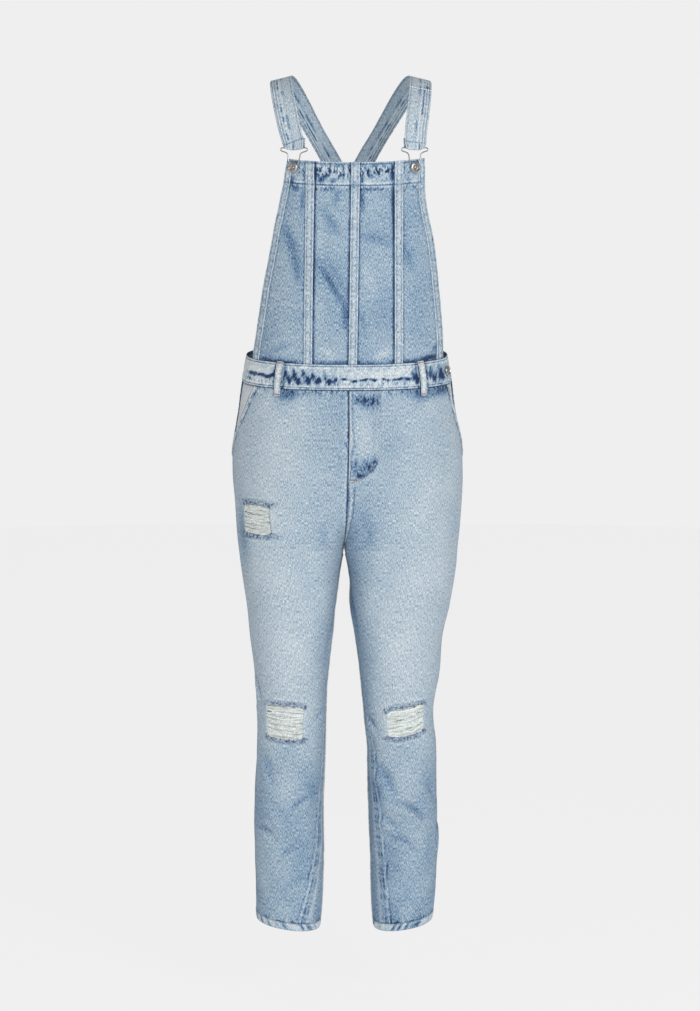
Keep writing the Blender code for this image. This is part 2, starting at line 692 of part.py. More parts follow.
seam_angle = math.degrees(SEAM_GAP / 2 / 0.12)
front_stations = [(-1, -d, BAND_LIFT) for d in [seam_angle] + span(9.0, 81.0, 8)]
front_stations += [(1, -90.0, BAND_LIFT)]
front_stations += [(1, -d, BAND_LIFT) for d in span(81.0, 36.0, 5)]
lap_lift = BAND_LIFT + BAND + SEAM_GAP
front_stations += [(1, TAB_RAMP, BAND_LIFT), (1, TAB_LAP, lap_lift), (1, -20.0, lap_lift),
                   (1, TAB_END, lap_lift)]
build_band("waistband_front", front_stations, WAIST_TOP, WAIST_SEAM, SEAM_DENIM)

back_stations = [(-1, d, BAND_LIFT) for d in [seam_angle] + span(9.0, 81.0, 8)]
back_stations += [(1, 90.0, BAND_LIFT)]
back_stations += [(1, d, BAND_LIFT) for d in span(81.0, 9.0, 8)]
back_stations += [(1, 0.0, BAND_LIFT), (1, -9.0, BAND_LIFT), (1, -16.0, BAND_LIFT),
                  (1, TAB_LAP + 1.5, BAND_LIFT)]
build_band("waistband_back", back_stations, WAIST_TOP, WAIST_SEAM, SEAM_DENIM)


def belt_loop(name, side, turn, foot=0.0006):
    """A narrow loop that stands off the waistband and is sewn down above and below;
    its foot lies this far off the panel."""
    middle = (WAIST_TOP + WAIST_SEAM) / 2
    normal = body_normal(side, turn, middle)
    top = body_point(side, turn, WAIST_TOP)
    bottom = body_point(side, turn, WAIST_SEAM)
    up = (top - bottom).normalized()
    sideways = up.cross(normal).normalized()
    height = (top - bottom).length
    face = BAND_LIFT + 0.0004
    # (distance up from the waist seam, stand-off of the loop's inner face)
    profile = ((-0.0115, foot), (-0.0050, foot + 0.0002), (-0.0005, face + 0.0012),
               (0.0060, face + LOOP_STANDOFF), (height - 0.0080, face + LOOP_STANDOFF),
               (height - 0.0020, face + 0.0006), (height + 0.0014, face + 0.0002))
    outer, inner = [], []
    for rise, off in reversed(profile):
        base = bottom + up * rise
        ends = [base + sideways * (LOOP_WIDTH / 2 * s) for s in (-1, 1)]
        inner.append([p + normal * off for p in ends])
        outer.append([p + normal * (off + 0.0014) for p in ends])
    wall(name, outer, inner, SEAM_DENIM)


belt_loop("belt_loop_front_right", -1, -0.575)
belt_loop("belt_loop_front_left", 1, -0.525)
belt_loop("belt_loop_back_right", -1, 0.420)
belt_loop("belt_loop_back_left", 1, 0.420)
belt_loop("belt_loop_back_middle", 1, 0.9995, foot=SEAM_GAP * 2 + STRIP + 0.0004)

# -------------------------------------------------------------------------- hems


def hem(side, side_name):
    """The turned-up hem: a closed ring of folded denim below the two leg panels."""
    top = HEM_SEAM - SEAM_GAP * 1.2
    turns = span(-1.0, 1.0, 22)[:-1]
    points, normals = [], []
    for level in (top, HEM_EDGE):
        points.append([body_point(side, t, level) for t in turns])
        normals.append([body_normal(side, t, level) for t in turns])
    outer = moved(points, normals, 0.0004)
    inner = moved(points, normals, 0.0004 - BAND)
    wall("hem_" + side_name, outer, inner, SEAM_DENIM, closed=True)


hem(-1, "right")
hem(1, "left")

# --------------------------------------------------------------------------- bib

BIB_TOP, BIB_BOTTOM = BIB_ROWS[0][0], BIB_ROWS[-1][0]
BIB_LEVELS = span(BIB_TOP, BIB_BOTTOM, 10)
BIB_LINES = ("edge_right", "seam_right", "seam_middle", "seam_left", "edge_left")
BIB_NAMES = ("bib_outer_right", "bib_inner_right", "bib_inner_left", "bib_outer_left")

BIB_EDGE = 0.0100
# the columns of each panel next to its two side lines, as wide as the strips on them
STRIP_AT_START = dict(zip(BIB_NAMES, (BIB_EDGE, BIB_EDGE, 0.0130, 0.0130)))
STRIP_AT_END = dict(zip(BIB_NAMES, (0.0130, BIB_EDGE, BIB_EDGE, BIB_EDGE)))

bib_panels = {}
for bib_name, first, last in zip(BIB_NAMES, BIB_LINES, BIB_LINES[1:]):
    bib_lines = []
    for bib_level in BIB_LEVELS:
        bib_row = BIB.at(bib_level)
        start = getattr(bib_row, first) + SEAM_GAP / 2
        stop = getattr(bib_row, last) - SEAM_GAP / 2
        values = [start] + span(start + STRIP_AT_START[bib_name],
                                stop - STRIP_AT_END[bib_name], 2) + [stop]
        bib_lines.append((values, bib_level, [bib_point(x, bib_level) for x in values],
                          [chest_normal(x, bib_level) for x in values]))
    bib_panels[bib_name] = Panel(bib_lines)
    bib_panels[bib_name].build(bib_name, DENIM, BIB_DENIM)


def bib_strip(name, panel_name, at_start):
    """A felled seam or turned edge over the first or last column of a bib panel."""
    columns = slice(0, 2) if at_start else slice(-2, None)
    strip_over(bib_panels[panel_name], name, slice(None), columns)


bib_strip("bib_seam_right", "bib_outer_right", False)
bib_strip("bib_seam_middle", "bib_inner_left", True)
bib_strip("bib_seam_left", "bib_outer_left", True)
bib_strip("bib_edge_right", "bib_outer_right", True)
bib_strip("bib_edge_left", "bib_outer_left", False)

back_lines = []
for back_level in span(BACK_ROWS[0][0], BACK_ROWS[-1][0], 10):
    half = BACK.at(back_level).half_width
    values = span(half, -half, 8)
    back_lines.append((values, back_level, [bib_point(x, back_level, False) for x in values],
                       [chest_normal(x, back_level, False) for x in values]))
Panel(back_lines).build("back_bib", DENIM + 0.0004, BIB_DENIM)

# ------------------------------------------------------------- buttons and buckles


class Place:
    """A spot on the cloth: its point, outward normal, up and sideways directions."""

    def __init__(self, point, normal):
        self.point = point
        self.normal = normal
        self.side = Vector((0, 0, 1)).cross(normal).normalized()
        self.up = normal.cross(self.side).normalized()

    def at(self, across, up, out):
        return self.point + self.side * across + self.up * up + self.normal * out


def bib_place(x, level):
    return Place(bib_point(x, level), chest_normal(x, level))


def button(name, place, shank):
    """A turned metal button: a shank, and a domed head with a raised rim."""
    # (radius, distance out from the cloth)
    profile = ((0.0024, SEAM_GAP), (0.0024, shank), (BUTTON / 2 - 0.0010, shank),
               (BUTTON / 2, shank + 0.0010), (BUTTON / 2 - 0.0006, shank + 0.0024),
               (BUTTON / 2 - 0.0022, shank + 0.0027), (BUTTON / 2 - 0.0032, shank + 0.0018),
               (0.0030, shank + 0.0024))
    sides = 16
    vertices, faces = [], []
    for radius, out in profile:
        for index in range(sides):
            angle = 2 * math.pi * index / sides
            vertices.append(place.at(radius * math.cos(angle), radius * math.sin(angle), out))
    for ring in range(len(profile) - 1):
        for index in range(sides):
            following = (index + 1) % sides
            faces.append((ring * sides + index, ring * sides + following,
                          (ring + 1) * sides + following, (ring + 1) * sides + index))
    faces.append(tuple(range(sides))[::-1])
    faces.append(tuple(range((len(profile) - 1) * sides, len(profile) * sides)))
    add_object(name, vertices, faces, COPPER)


BUCKLE_OUT = SEAM_GAP * 2 + STRIP + WIRE / 2 + 0.0004    # of the wire's middle
BUTTON_SHANK = BUCKLE_OUT + WIRE / 2 + SEAM_GAP
BUTTON_LEVEL = -0.1175
bib_buttons = {-1: bib_place(-0.0815, BUTTON_LEVEL), 1: bib_place(0.1026, BUTTON_LEVEL)}
button("bib_button_right", bib_buttons[-1], BUTTON_SHANK)
button("bib_button_left", bib_buttons[1], BUTTON_SHANK)

tab_turn, tab_level = -20.0 / 90.0, (WAIST_TOP + WAIST_SEAM) / 2
tab_normal = body_normal(1, tab_turn, tab_level)
button("side_button", Place(body_point(1, tab_turn, tab_level) + tab_normal * (lap_lift + 0.0002),
                            tab_normal), 0.0012)


def buckle(name, place):
    """A bent wire hook: a bar in the strap's fold, a loop at each end of the bar, and
    two arms that meet in a round seat behind the button's head."""
    arm = ((0.0205, 0.0300), (0.0228, 0.0288), (0.0228, 0.0262), (0.0205, 0.0248),
           (0.0150, 0.0232), (0.0112, 0.0205), (0.0100, 0.0150), (0.0082, 0.0080),
           (0.0052, 0.0020), (0.0040, -0.0010), (0.0022, -0.0034))
    outline = list(arm) + [(0.0, -0.0042)] + [(-x, up) for x, up in reversed(arm)]
    outline += [(-0.0070, BUCKLE_DROP), (0.0070, BUCKLE_DROP)]
    curve = bpy.data.curves.new(name, "CURVE")
    curve.dimensions = "3D"
    curve.bevel_depth = WIRE / 2
    curve.bevel_resolution = 1
    spline = curve.splines.new("POLY")
    spline.points.add(len(outline) - 1)
    for point, (across, up) in zip(spline.points, outline):
        point.co = (*place.at(across, up, BUCKLE_OUT), 1.0)
    spline.use_cyclic_u = True
    curve.materials.append(STEEL)
    item = bpy.data.objects.new(name, curve)
    bpy.context.scene.collection.objects.link(item)


buckle("buckle_right", bib_buttons[-1])
buckle("buckle_left", bib_buttons[1])

# -------------------------------------------------------------------------- straps


def strap(name, side, place):
    """A shoulder strap: its free end turned up behind the buckle's bar, then up the
    front, over the shoulder and down to the top of the back bib."""
    bar = place.at(0, BUCKLE_DROP, BUCKLE_OUT)
    eye = WIRE / 2 + SEAM_GAP
    inner, outer = [], []

    def add_row(centre, across, normal, width):
        ends = [centre - across * (width / 2), centre + across * (width / 2)]
        inner.append(ends)
        outer.append([p + normal * (BAND - 0.0002) for p in ends])

    first = Row(STRAP_COLUMNS, STRAP_ROWS[0])
    add_row(bar - place.normal * eye + place.up * STRAP_FOLD, place.side, -place.normal, 0.0355)
    for degrees in (180, 225, 270, 315, 360):
        angle = math.radians(degrees)
        out = place.normal * math.cos(angle) + place.up * math.sin(angle)
        add_row(bar + out * eye, place.side, out, 0.0355)
    rows = [Row(STRAP_COLUMNS, values) for values in STRAP_ROWS]
    centres = [Vector((row.lean + side * row.spread, row.y, row.z)) for row in rows]
    centres[0] = bar + place.normal * eye + place.up * (first.z - bar.z)
    for index, row in enumerate(rows):
        after = centres[min(index + 1, len(rows) - 1)]
        before = centres[max(index - 1, 0)]
        along = (after - before).normalized()
        yaw, roll = math.radians(row.yaw), math.radians(row.roll)
        outward = Vector((side * math.cos(yaw), math.sin(yaw), -math.sin(roll)))
        across = outward - along * outward.dot(along)
        across = (across.normalized() * side)
        normal = across.cross(along).normalized()
        width = row.width
        level = Vector((across.x, across.y, 0.0)).normalized()
        width *= 1 + row.level_cut * (1 / max(across.dot(level), 0.5) - 1)
        across = across.lerp(level, row.level_cut).normalized()
        add_row(centres[index], across, normal, width)
    wall(name, outer, inner, BIB_DENIM)


strap("strap_right", -1, bib_buttons[-1])
strap("strap_left", 1, bib_buttons[1])
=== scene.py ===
"""The looks of the denim dungarees: washed cloth, seams, stitching and metal, laid on the
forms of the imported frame. Metres, +Z up, the front towards -Y, the wearer's left at +X."""
import math

import bmesh
import bpy
import numpy as np
from mathutils import Matrix, Vector


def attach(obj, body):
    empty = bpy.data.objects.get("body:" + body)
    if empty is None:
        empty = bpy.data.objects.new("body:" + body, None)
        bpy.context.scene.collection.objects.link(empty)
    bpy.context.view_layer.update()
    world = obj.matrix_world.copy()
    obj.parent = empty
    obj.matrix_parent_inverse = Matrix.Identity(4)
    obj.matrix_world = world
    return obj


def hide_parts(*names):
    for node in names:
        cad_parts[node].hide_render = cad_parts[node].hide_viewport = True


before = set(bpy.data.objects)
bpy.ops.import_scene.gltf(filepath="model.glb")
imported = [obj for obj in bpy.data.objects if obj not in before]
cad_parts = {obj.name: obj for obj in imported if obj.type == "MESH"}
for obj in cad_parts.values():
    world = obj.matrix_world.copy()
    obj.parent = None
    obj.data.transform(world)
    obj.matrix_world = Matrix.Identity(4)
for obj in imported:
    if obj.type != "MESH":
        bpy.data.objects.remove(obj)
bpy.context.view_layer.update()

# -------------------- studio
# The garment stands in the air, filled out, above a plain pale floor. The surround and
# two large soft lamps are even, and a long lens looks slightly down from chest height.

FLOOR_LEVEL, FLOOR_RADIUS = -1.50, 6.0
WHITE = (1.0, 1.0, 1.0, 1.0)
PAPER, PAPER_LIT = 0.12, 0.55           # how grey the floor is, and how much light falls on it
SURROUND = 0.863                        # the pale surround as it is seen, in linear light
AMBIENT = 0.38                          # and as it lights the garment
LENS_PLACE = Vector((0.004, -4.600, -0.090))
LENS_AIM = Vector((0.004, 0.000, -0.674))
FRAME_HEIGHT = 24                       # the lens's frame, in mm
FOCUS_PIXELS, HEIGHT_PIXELS = 2900, 1011

bpy.context.scene.view_settings.view_transform = "Standard"


def set_sockets(tree, node, values):
    """Gives each named socket of a node a value or another node's output."""
    for socket, value in values.items():
        if isinstance(value, bpy.types.NodeSocket):
            tree.links.new(value, node.inputs[socket])
        else:
            node.inputs[socket].default_value = value


def add_node(tree, kind, links=None, **settings):
    """A node with its settings; links gives sockets a value or another node's output."""
    node = tree.nodes.new(kind)
    for name, value in settings.items():
        setattr(node, name, value)
    set_sockets(tree, node, links or {})
    return node


def new_material(name):
    """An empty material, its node tree and its shader."""
    material = bpy.data.materials.new(name)
    material.use_nodes = True
    return material, material.node_tree, material.node_tree.nodes["Principled BSDF"]


def paper_floor():
    """Matt paper that glows a little, so that it stays as pale as the surround."""
    material, tree, shader = new_material("matt_paper")
    set_sockets(tree, shader, {
        "Base Color": (PAPER, PAPER, PAPER, 1.0), "Roughness": 1.0, "Specular IOR Level": 0.0,
        "Emission Color": WHITE, "Emission Strength": SURROUND - PAPER * PAPER_LIT})
    bm = bmesh.new()
    bmesh.ops.create_circle(bm, cap_ends=True, segments=96, radius=FLOOR_RADIUS,
                            matrix=Matrix.Translation((0, 0, FLOOR_LEVEL)))
    mesh = bpy.data.meshes.new("studio_floor")
    bm.to_mesh(mesh)
    bm.free()
    mesh.materials.append(material)
    floor = bpy.data.objects.new("studio_floor", mesh)
    bpy.context.scene.collection.objects.link(floor)


def aimed(name, data, place):
    """A lamp or a camera that looks at the middle of the garment."""
    item = bpy.data.objects.new(name, data)
    item.location = place
    item.rotation_euler = (LENS_AIM - place).to_track_quat("-Z", "Y").to_euler()
    bpy.context.scene.collection.objects.link(item)
    return item


paper_floor()
for name, place, size, watts in (("key_lamp", Vector((2.2, -4.4, 1.2)), 2.4, 138.0),
                                 ("fill_lamp", Vector((-2.6, -4.0, 0.0)), 2.8, 40.0)):
    soft_box = bpy.data.lights.new(name, "AREA")
    soft_box.size = size
    soft_box.energy = watts
    aimed(name, soft_box, place)

world = bpy.data.worlds.new("even_surround")
world.use_nodes = True
air = world.node_tree
seen = add_node(air, "ShaderNodeLightPath").outputs["Is Camera Ray"]
strength = add_node(air, "ShaderNodeMapRange", {
    "Value": seen, "To Min": AMBIENT, "To Max": SURROUND}).outputs["Result"]
set_sockets(air, air.nodes["Background"], {"Color": WHITE, "Strength": strength})
bpy.context.scene.world = world

lens = bpy.data.cameras.new("lens")
lens.sensor_fit = "VERTICAL"
lens.sensor_height = FRAME_HEIGHT
lens.lens = FRAME_HEIGHT * FOCUS_PIXELS / HEIGHT_PIXELS
bpy.context.scene.camera = aimed("camera", lens, LENS_PLACE)

# -------------------- leg panels
# Four panels of 11 oz denim, cut to a slim leg that fills out over the hips, and seamed
# at the sides, inside the legs and along the rise. Their largest folds are those of the
# solids; small creases, puckered edges, the worn wash and some painted shade are added.

SIDES = ((-1, "right"), (1, "left"))
DENIM = 0.0014                          # how thick the cloth is
SEAM_GAP = 0.0003                       # left between two pieces
WELD = 0.00002                          # points closer than this are one


def linear(hex_colour):
    """An sRGB hex colour as linear red, green, blue and alpha."""
    channels = [int(hex_colour[i:i + 2], 16) / 255 for i in (0, 2, 4)]
    return (*[c / 12.92 if c <= 0.04045 else ((c + 0.055) / 1.055) ** 2.4 for c in channels], 1.0)

# The depth of the dye is painted on each piece, with painted shade and light in a few places; slubs,
# drips, bars and clouds vary it.
# Real twill lines are 0.6 mm apart and real slubs finer still, too fine to show, so they
# are drawn 1.6 mm apart and 0.9 mm wide.
DYE_STOPS = ((0.00, "DFE3E3"), (0.18, "CBD4D9"), (0.34, "B3C0CA"), (0.50, "95ABBC"),
             (0.66, "6E8CA9"), (0.82, "446288"), (1.00, "203154"))
SLUB_ACROSS, SLUB_ALONG = 0.0009, 0.0042
TWILL_PITCH, TWILL_ANGLE = 0.0016, 27
WAVE_PITCH = 0.314                      # of the wave pattern itself, before it is scaled
FLECK_PALE, FLECK_DARK = 1.09, 0.87     # how bright the palest and the darkest slubs are


def washed_denim(name, slub=1.00, blotch=0.20, shift=0.0):
    """Cotton twill, indigo warp over white weft, stone-washed and bleached, which is matt
    and unevenly pale. slub and blotch are how strongly wear varies the dye, and shift is
    how much deeper this face is than what is painted."""
    material, tree, shader = new_material(name)
    cloth = add_node(tree, "ShaderNodeUVMap", uv_map="cloth").outputs["UV"]

    def painted(attribute):
        return add_node(tree, "ShaderNodeAttribute", attribute_name=attribute).outputs["Fac"]

    def cloud(across, along, detail):
        """Noise in patches of about the given sizes, stretched along the warp."""
        stretched = add_node(tree, "ShaderNodeMapping", {
            "Vector": cloth, "Scale": (1 / across, 1 / along, 1.0)})
        return add_node(tree, "ShaderNodeTexNoise", {
            "Vector": stretched.outputs["Vector"], "Scale": 1.0, "Detail": detail,
            "Roughness": 0.55}, noise_dimensions="2D").outputs["Fac"]

    def math_node(operation, *values):
        return add_node(tree, "ShaderNodeMath", dict(enumerate(values)),
                        operation=operation).outputs[0]

    def sharpened(fac, low, high):
        return add_node(tree, "ShaderNodeMapRange", {
            "Value": fac, "From Min": low, "From Max": high},
            interpolation_type="SMOOTHSTEP").outputs["Result"]

    slubs = cloud(SLUB_ACROSS, SLUB_ALONG, 2.0)
    drips = math_node("MULTIPLY", sharpened(cloud(0.0042, 0.0095, 1.0), 0.46, 0.60),
                      painted("drips"))
    bars = math_node("MULTIPLY", sharpened(cloud(0.0080, 0.0045, 1.0), 0.46, 0.62),
                     painted("bars"))
    depth = math_node("ADD", painted("dye"), math_node("ADD", drips, bars))
    depth = math_node("MULTIPLY_ADD", math_node("SUBTRACT", slubs, 0.5), slub, depth)
    patches = math_node("SUBTRACT", cloud(0.0036, 0.0110, 2.0), 0.5)
    depth = math_node("MULTIPLY_ADD", patches, blotch, depth)
    patches = math_node("SUBTRACT", cloud(0.035, 0.050, 2.0), 0.5)
    depth = math_node("ADD", math_node("MULTIPLY_ADD", patches, 0.14, depth), shift)
    ramp = add_node(tree, "ShaderNodeValToRGB", {"Fac": depth})
    stops = ramp.color_ramp.elements
    while len(stops) < len(DYE_STOPS):
        stops.new(0.5)
    for stop, (place, colour) in zip(stops, DYE_STOPS):
        stop.position = place
        stop.color = linear(colour)
    flecks = add_node(tree, "ShaderNodeMapRange", {
        "Value": slubs, "From Min": 0.40, "From Max": 0.60, "To Min": FLECK_PALE,
        "To Max": FLECK_DARK}).outputs["Result"]
    flecked = add_node(tree, "ShaderNodeVectorMath", {
        0: ramp.outputs["Color"], "Scale": flecks}, operation="SCALE")

    finer = WAVE_PITCH / TWILL_PITCH
    slanted = add_node(tree, "ShaderNodeMapping", {
        "Vector": cloth, "Rotation": (0, 0, math.radians(TWILL_ANGLE)),
        "Scale": (finer, finer, 1.0)})
    twill = add_node(tree, "ShaderNodeTexWave", {
        "Vector": slanted.outputs["Vector"], "Scale": 1.0, "Distortion": 1.2,
        "Detail": 1.0, "Detail Scale": 1.5}, wave_profile="SIN").outputs["Fac"]
    height = math_node("MULTIPLY_ADD", twill, 0.35, slubs)
    height = math_node("MULTIPLY_ADD", math_node("ADD", drips, bars), -1.2, height)
    bump = add_node(tree, "ShaderNodeBump", {
        "Height": height, "Strength": 0.35, "Distance": 0.0006})
    set_sockets(tree, shader, {
        "Base Color": flecked.outputs["Vector"], "Normal": bump.outputs["Normal"],
        "Roughness": 0.88, "Specular IOR Level": 0.25, "Sheen Weight": 0.10,
        "Sheen Roughness": 0.6})
    return material


DENIM_FACE = washed_denim("stonewashed_twill_face")
DENIM_BACK = washed_denim("stonewashed_twill_reverse", slub=0.30, blotch=0.20, shift=0.04)


def lattice(spots, seed):
    """Smooth random heights, -1 to 1, one hump to each unit of each axis of spots."""
    heights = np.random.default_rng(seed).uniform(-1, 1, (256, 256))
    low = np.floor(spots).astype(int)
    share = spots - low
    share = share * share * (3 - 2 * share)
    across, down = low[..., 0] % 255, low[..., 1] % 255
    top = heights[down, across] * (1 - share[..., 0]) + heights[down, across + 1] * share[..., 0]
    foot = (heights[down + 1, across] * (1 - share[..., 0])
            + heights[down + 1, across + 1] * share[..., 0])
    return top * (1 - share[..., 1]) + foot * share[..., 1]


def mottle(across, down, pitch_across, pitch_down, seed):
    """Smooth random patches of about the given sizes, -1 to 1."""
    across, down = np.broadcast_arrays(across, down)
    return lattice(np.stack([across / pitch_across, down / pitch_down], axis=-1), seed)


def hump(values, middle, half):
    """A soft hump: 1 at the middle, 0 a few halves away."""
    return np.exp(-((values - middle) / half) ** 2)


def ramp_up(values, start, stop):
    """A soft step from 0 at start to 1 at stop."""
    share = np.clip((values - start) / (stop - start), 0, 1)
    return share * share * (3 - 2 * share)


def patches(across, down, rows):
    """The sum of soft patches, given as (across, down, half-width, half-height, depth)."""
    total = np.zeros(np.broadcast_shapes(np.shape(across), np.shape(down)))
    for x, y, half_width, half_height, depth in rows:
        total = total + depth * hump(across, x, half_width) * hump(down, y, half_height)
    return total


def unit(vectors):
    """Vectors cut to a length of 1."""
    return vectors / np.linalg.norm(vectors, axis=-1, keepdims=True)


def run_lengths(line):
    """How far along a line of points each of them is."""
    steps = np.linalg.norm(np.diff(line, axis=0), axis=1)
    return np.concatenate([[0], np.cumsum(steps)])


def face_normals(points, outward, closed=False):
    """The outward normals of a grid of points."""
    if closed:
        points = np.concatenate([points[:, -2:-1], points, points[:, 1:2]], axis=1)
    along, down = np.gradient(points, axis=1), np.gradient(points, axis=0)
    normals = unit(np.cross(along, down) * outward)
    return normals[:, 1:-1] if closed else normals


class Cloth:
    """A flat cut of cloth laid on its form as a grid. points go across and then down;
    across and down are the places in the cut, in metres, which are also its map, so that
    the twill follows the cloth."""

    NARROWEST = 0.0101                  # the narrowest width that flat_size gives a cut

    def __init__(self, points, outward, across=None, down=None, closed=False):
        self.points = np.array(points)
        shape = self.points.shape[:2]
        if across is None:
            steps = np.linalg.norm(np.diff(self.points, axis=1), axis=2)
            across = np.pad(np.cumsum(steps, axis=1), ((0, 0), (1, 0)))
        if down is None:
            steps = np.linalg.norm(np.diff(self.points, axis=0), axis=2).mean(axis=1)
            down = np.pad(np.cumsum(steps), (1, 0))[:, None]
        self.across = np.broadcast_to(across, shape).copy()
        self.down = np.broadcast_to(down, shape).copy()
        self.outward = outward
        self.closed = closed
        self.normals = face_normals(self.points, outward, closed)
        self.dye = np.zeros(shape)      # how deep the dye stands, 0 pale to 1 indigo, with painted shade and light in places
        self.drips = 0.0                # how much it gathers in upright drips at a seam
        self.bars = 0.0                 # and in level ones

    def raise_by(self, heights):
        """Moves the cloth out by heights, which may differ from point to point."""
        self.points = self.points + self.normals * np.broadcast_to(
            heights, self.points.shape[:2])[..., None]
        self.normals = face_normals(self.points, self.outward, self.closed)

    def row_at(self, level):
        """The grid row at a level, or at each of several, in parts of a row."""
        return np.interp(-level, -self.levels, np.arange(len(self.levels)))

    def line_at(self, shares, level):
        """Points and normals across the laid cloth at one level, at shares round it."""
        row = self.row_at(level)
        low = min(int(row), len(self.levels) - 2)
        found = []
        for index in (low, low + 1):
            columns = np.interp(shares, self.shares[index], np.arange(self.shares.shape[1]))
            left = np.minimum(columns.astype(int), self.shares.shape[1] - 2)
            part = (columns - left)[:, None]
            found.append([grid[index][left] * (1 - part) + grid[index][left + 1] * part
                          for grid in (self.points, self.normals)])
        part = row - low
        return [top * (1 - part) + foot * part for top, foot in zip(*found)]

    def flat_size(self):
        """The width, length and area of the cut."""
        sides = np.linalg.norm(np.diff(self.points, axis=1), axis=2)
        drops = np.linalg.norm(np.diff(self.points, axis=0), axis=2)
        edge_a = self.points[1:, :-1] - self.points[:-1, :-1]
        edge_b = self.points[:-1, 1:] - self.points[:-1, :-1]
        area = np.linalg.norm(np.cross(edge_a, edge_b), axis=2).sum()
        width = max(sides.sum(axis=1).max(), self.NARROWEST)
        length = drops.sum(axis=0).max()
        return float(width), float(length), float(min(area, width * length))


def put_on(name, data, node=None):
    """Adds a piece to the garment, in place of its solid where it has one."""
    piece = bpy.data.objects.new(name, data)
    bpy.context.scene.collection.objects.link(piece)
    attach(piece, "root")
    if node:
        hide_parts(node)
    return piece


def cut_piece(name, cloth, thickness, node, holes=(), reverse=DENIM_BACK):
    """Cuts and lays one piece, in place of its solid. holes are grid cells left out."""
    rows, columns = cloth.points.shape[:2]
    bm = bmesh.new()
    bmesh.ops.create_grid(bm, x_segments=columns - 1, y_segments=rows - 1, size=0.5)
    cut_map = bm.loops.layers.uv.new("cloth")
    paints = [(bm.verts.layers.float.new(paint),
               np.broadcast_to(getattr(cloth, paint), (rows, columns)))
              for paint in ("dye", "drips", "bars")]
    cell = {}
    for vert in bm.verts:
        column = round((vert.co.x + 0.5) * (columns - 1))
        row = round((0.5 - vert.co.y) * (rows - 1))
        cell[vert] = (row, column)
        vert.co = cloth.points[row, column]
        for layer, depths in paints:
            vert[layer] = depths[row, column]
    for face_cell in bm.faces:
        for loop in face_cell.loops:
            row, column = cell[loop.vert]
            loop[cut_map].uv = (cloth.across[row, column], -cloth.down[row, column])
    if holes:
        torn = [f for f in bm.faces if min(cell[v] for v in f.verts) in holes]
        bmesh.ops.delete(bm, geom=torn, context="FACES")
    if cloth.closed:
        ends = [v for v, place in cell.items() if place[1] in (0, columns - 1)]
        bmesh.ops.remove_doubles(bm, verts=ends, dist=WELD)
    bm.normal_update()
    probe = bm.faces[:][len(bm.faces) // 3]
    row, column = cell[probe.verts[0]] if probe.verts[0] in cell else (0, 0)
    if probe.normal.dot(Vector(cloth.normals[row, column])) < 0:
        bmesh.ops.reverse_faces(bm, faces=bm.faces[:])
    mesh = bpy.data.meshes.new(name)
    bm.to_mesh(mesh)
    bm.free()
    mesh.materials.append(DENIM_FACE)
    mesh.materials.append(reverse)
    mesh.shade_smooth()
    piece = put_on(name, mesh, node)
    body = piece.modifiers.new("cloth_thickness", "SOLIDIFY")
    body.thickness = thickness
    body.offset = -1
    body.material_offset = 1
    width, length, area = cloth.flat_size()


WAIST_SEAM, CROTCH, HEM_SEAM = -0.4730, -0.7380, -1.3450    # levels
POCKET_FOOT, POCKET_HEM = -0.5930, 0.0085       # the mouth's foot, and its turned edge's width
POCKET_TOP_SHARE = {-1: 0.282, 1: 0.158}        # how far round the mouth starts, by side
FELLED_SEAM = 0.0125
PANEL_REACH = {-1: 0.272, 1: 0.276}     # how far round a front and a back keep even columns
ROW_PITCH, FINE_PITCH = 0.0034, 0.0015  # the grid's steps down the leg, and at an edge

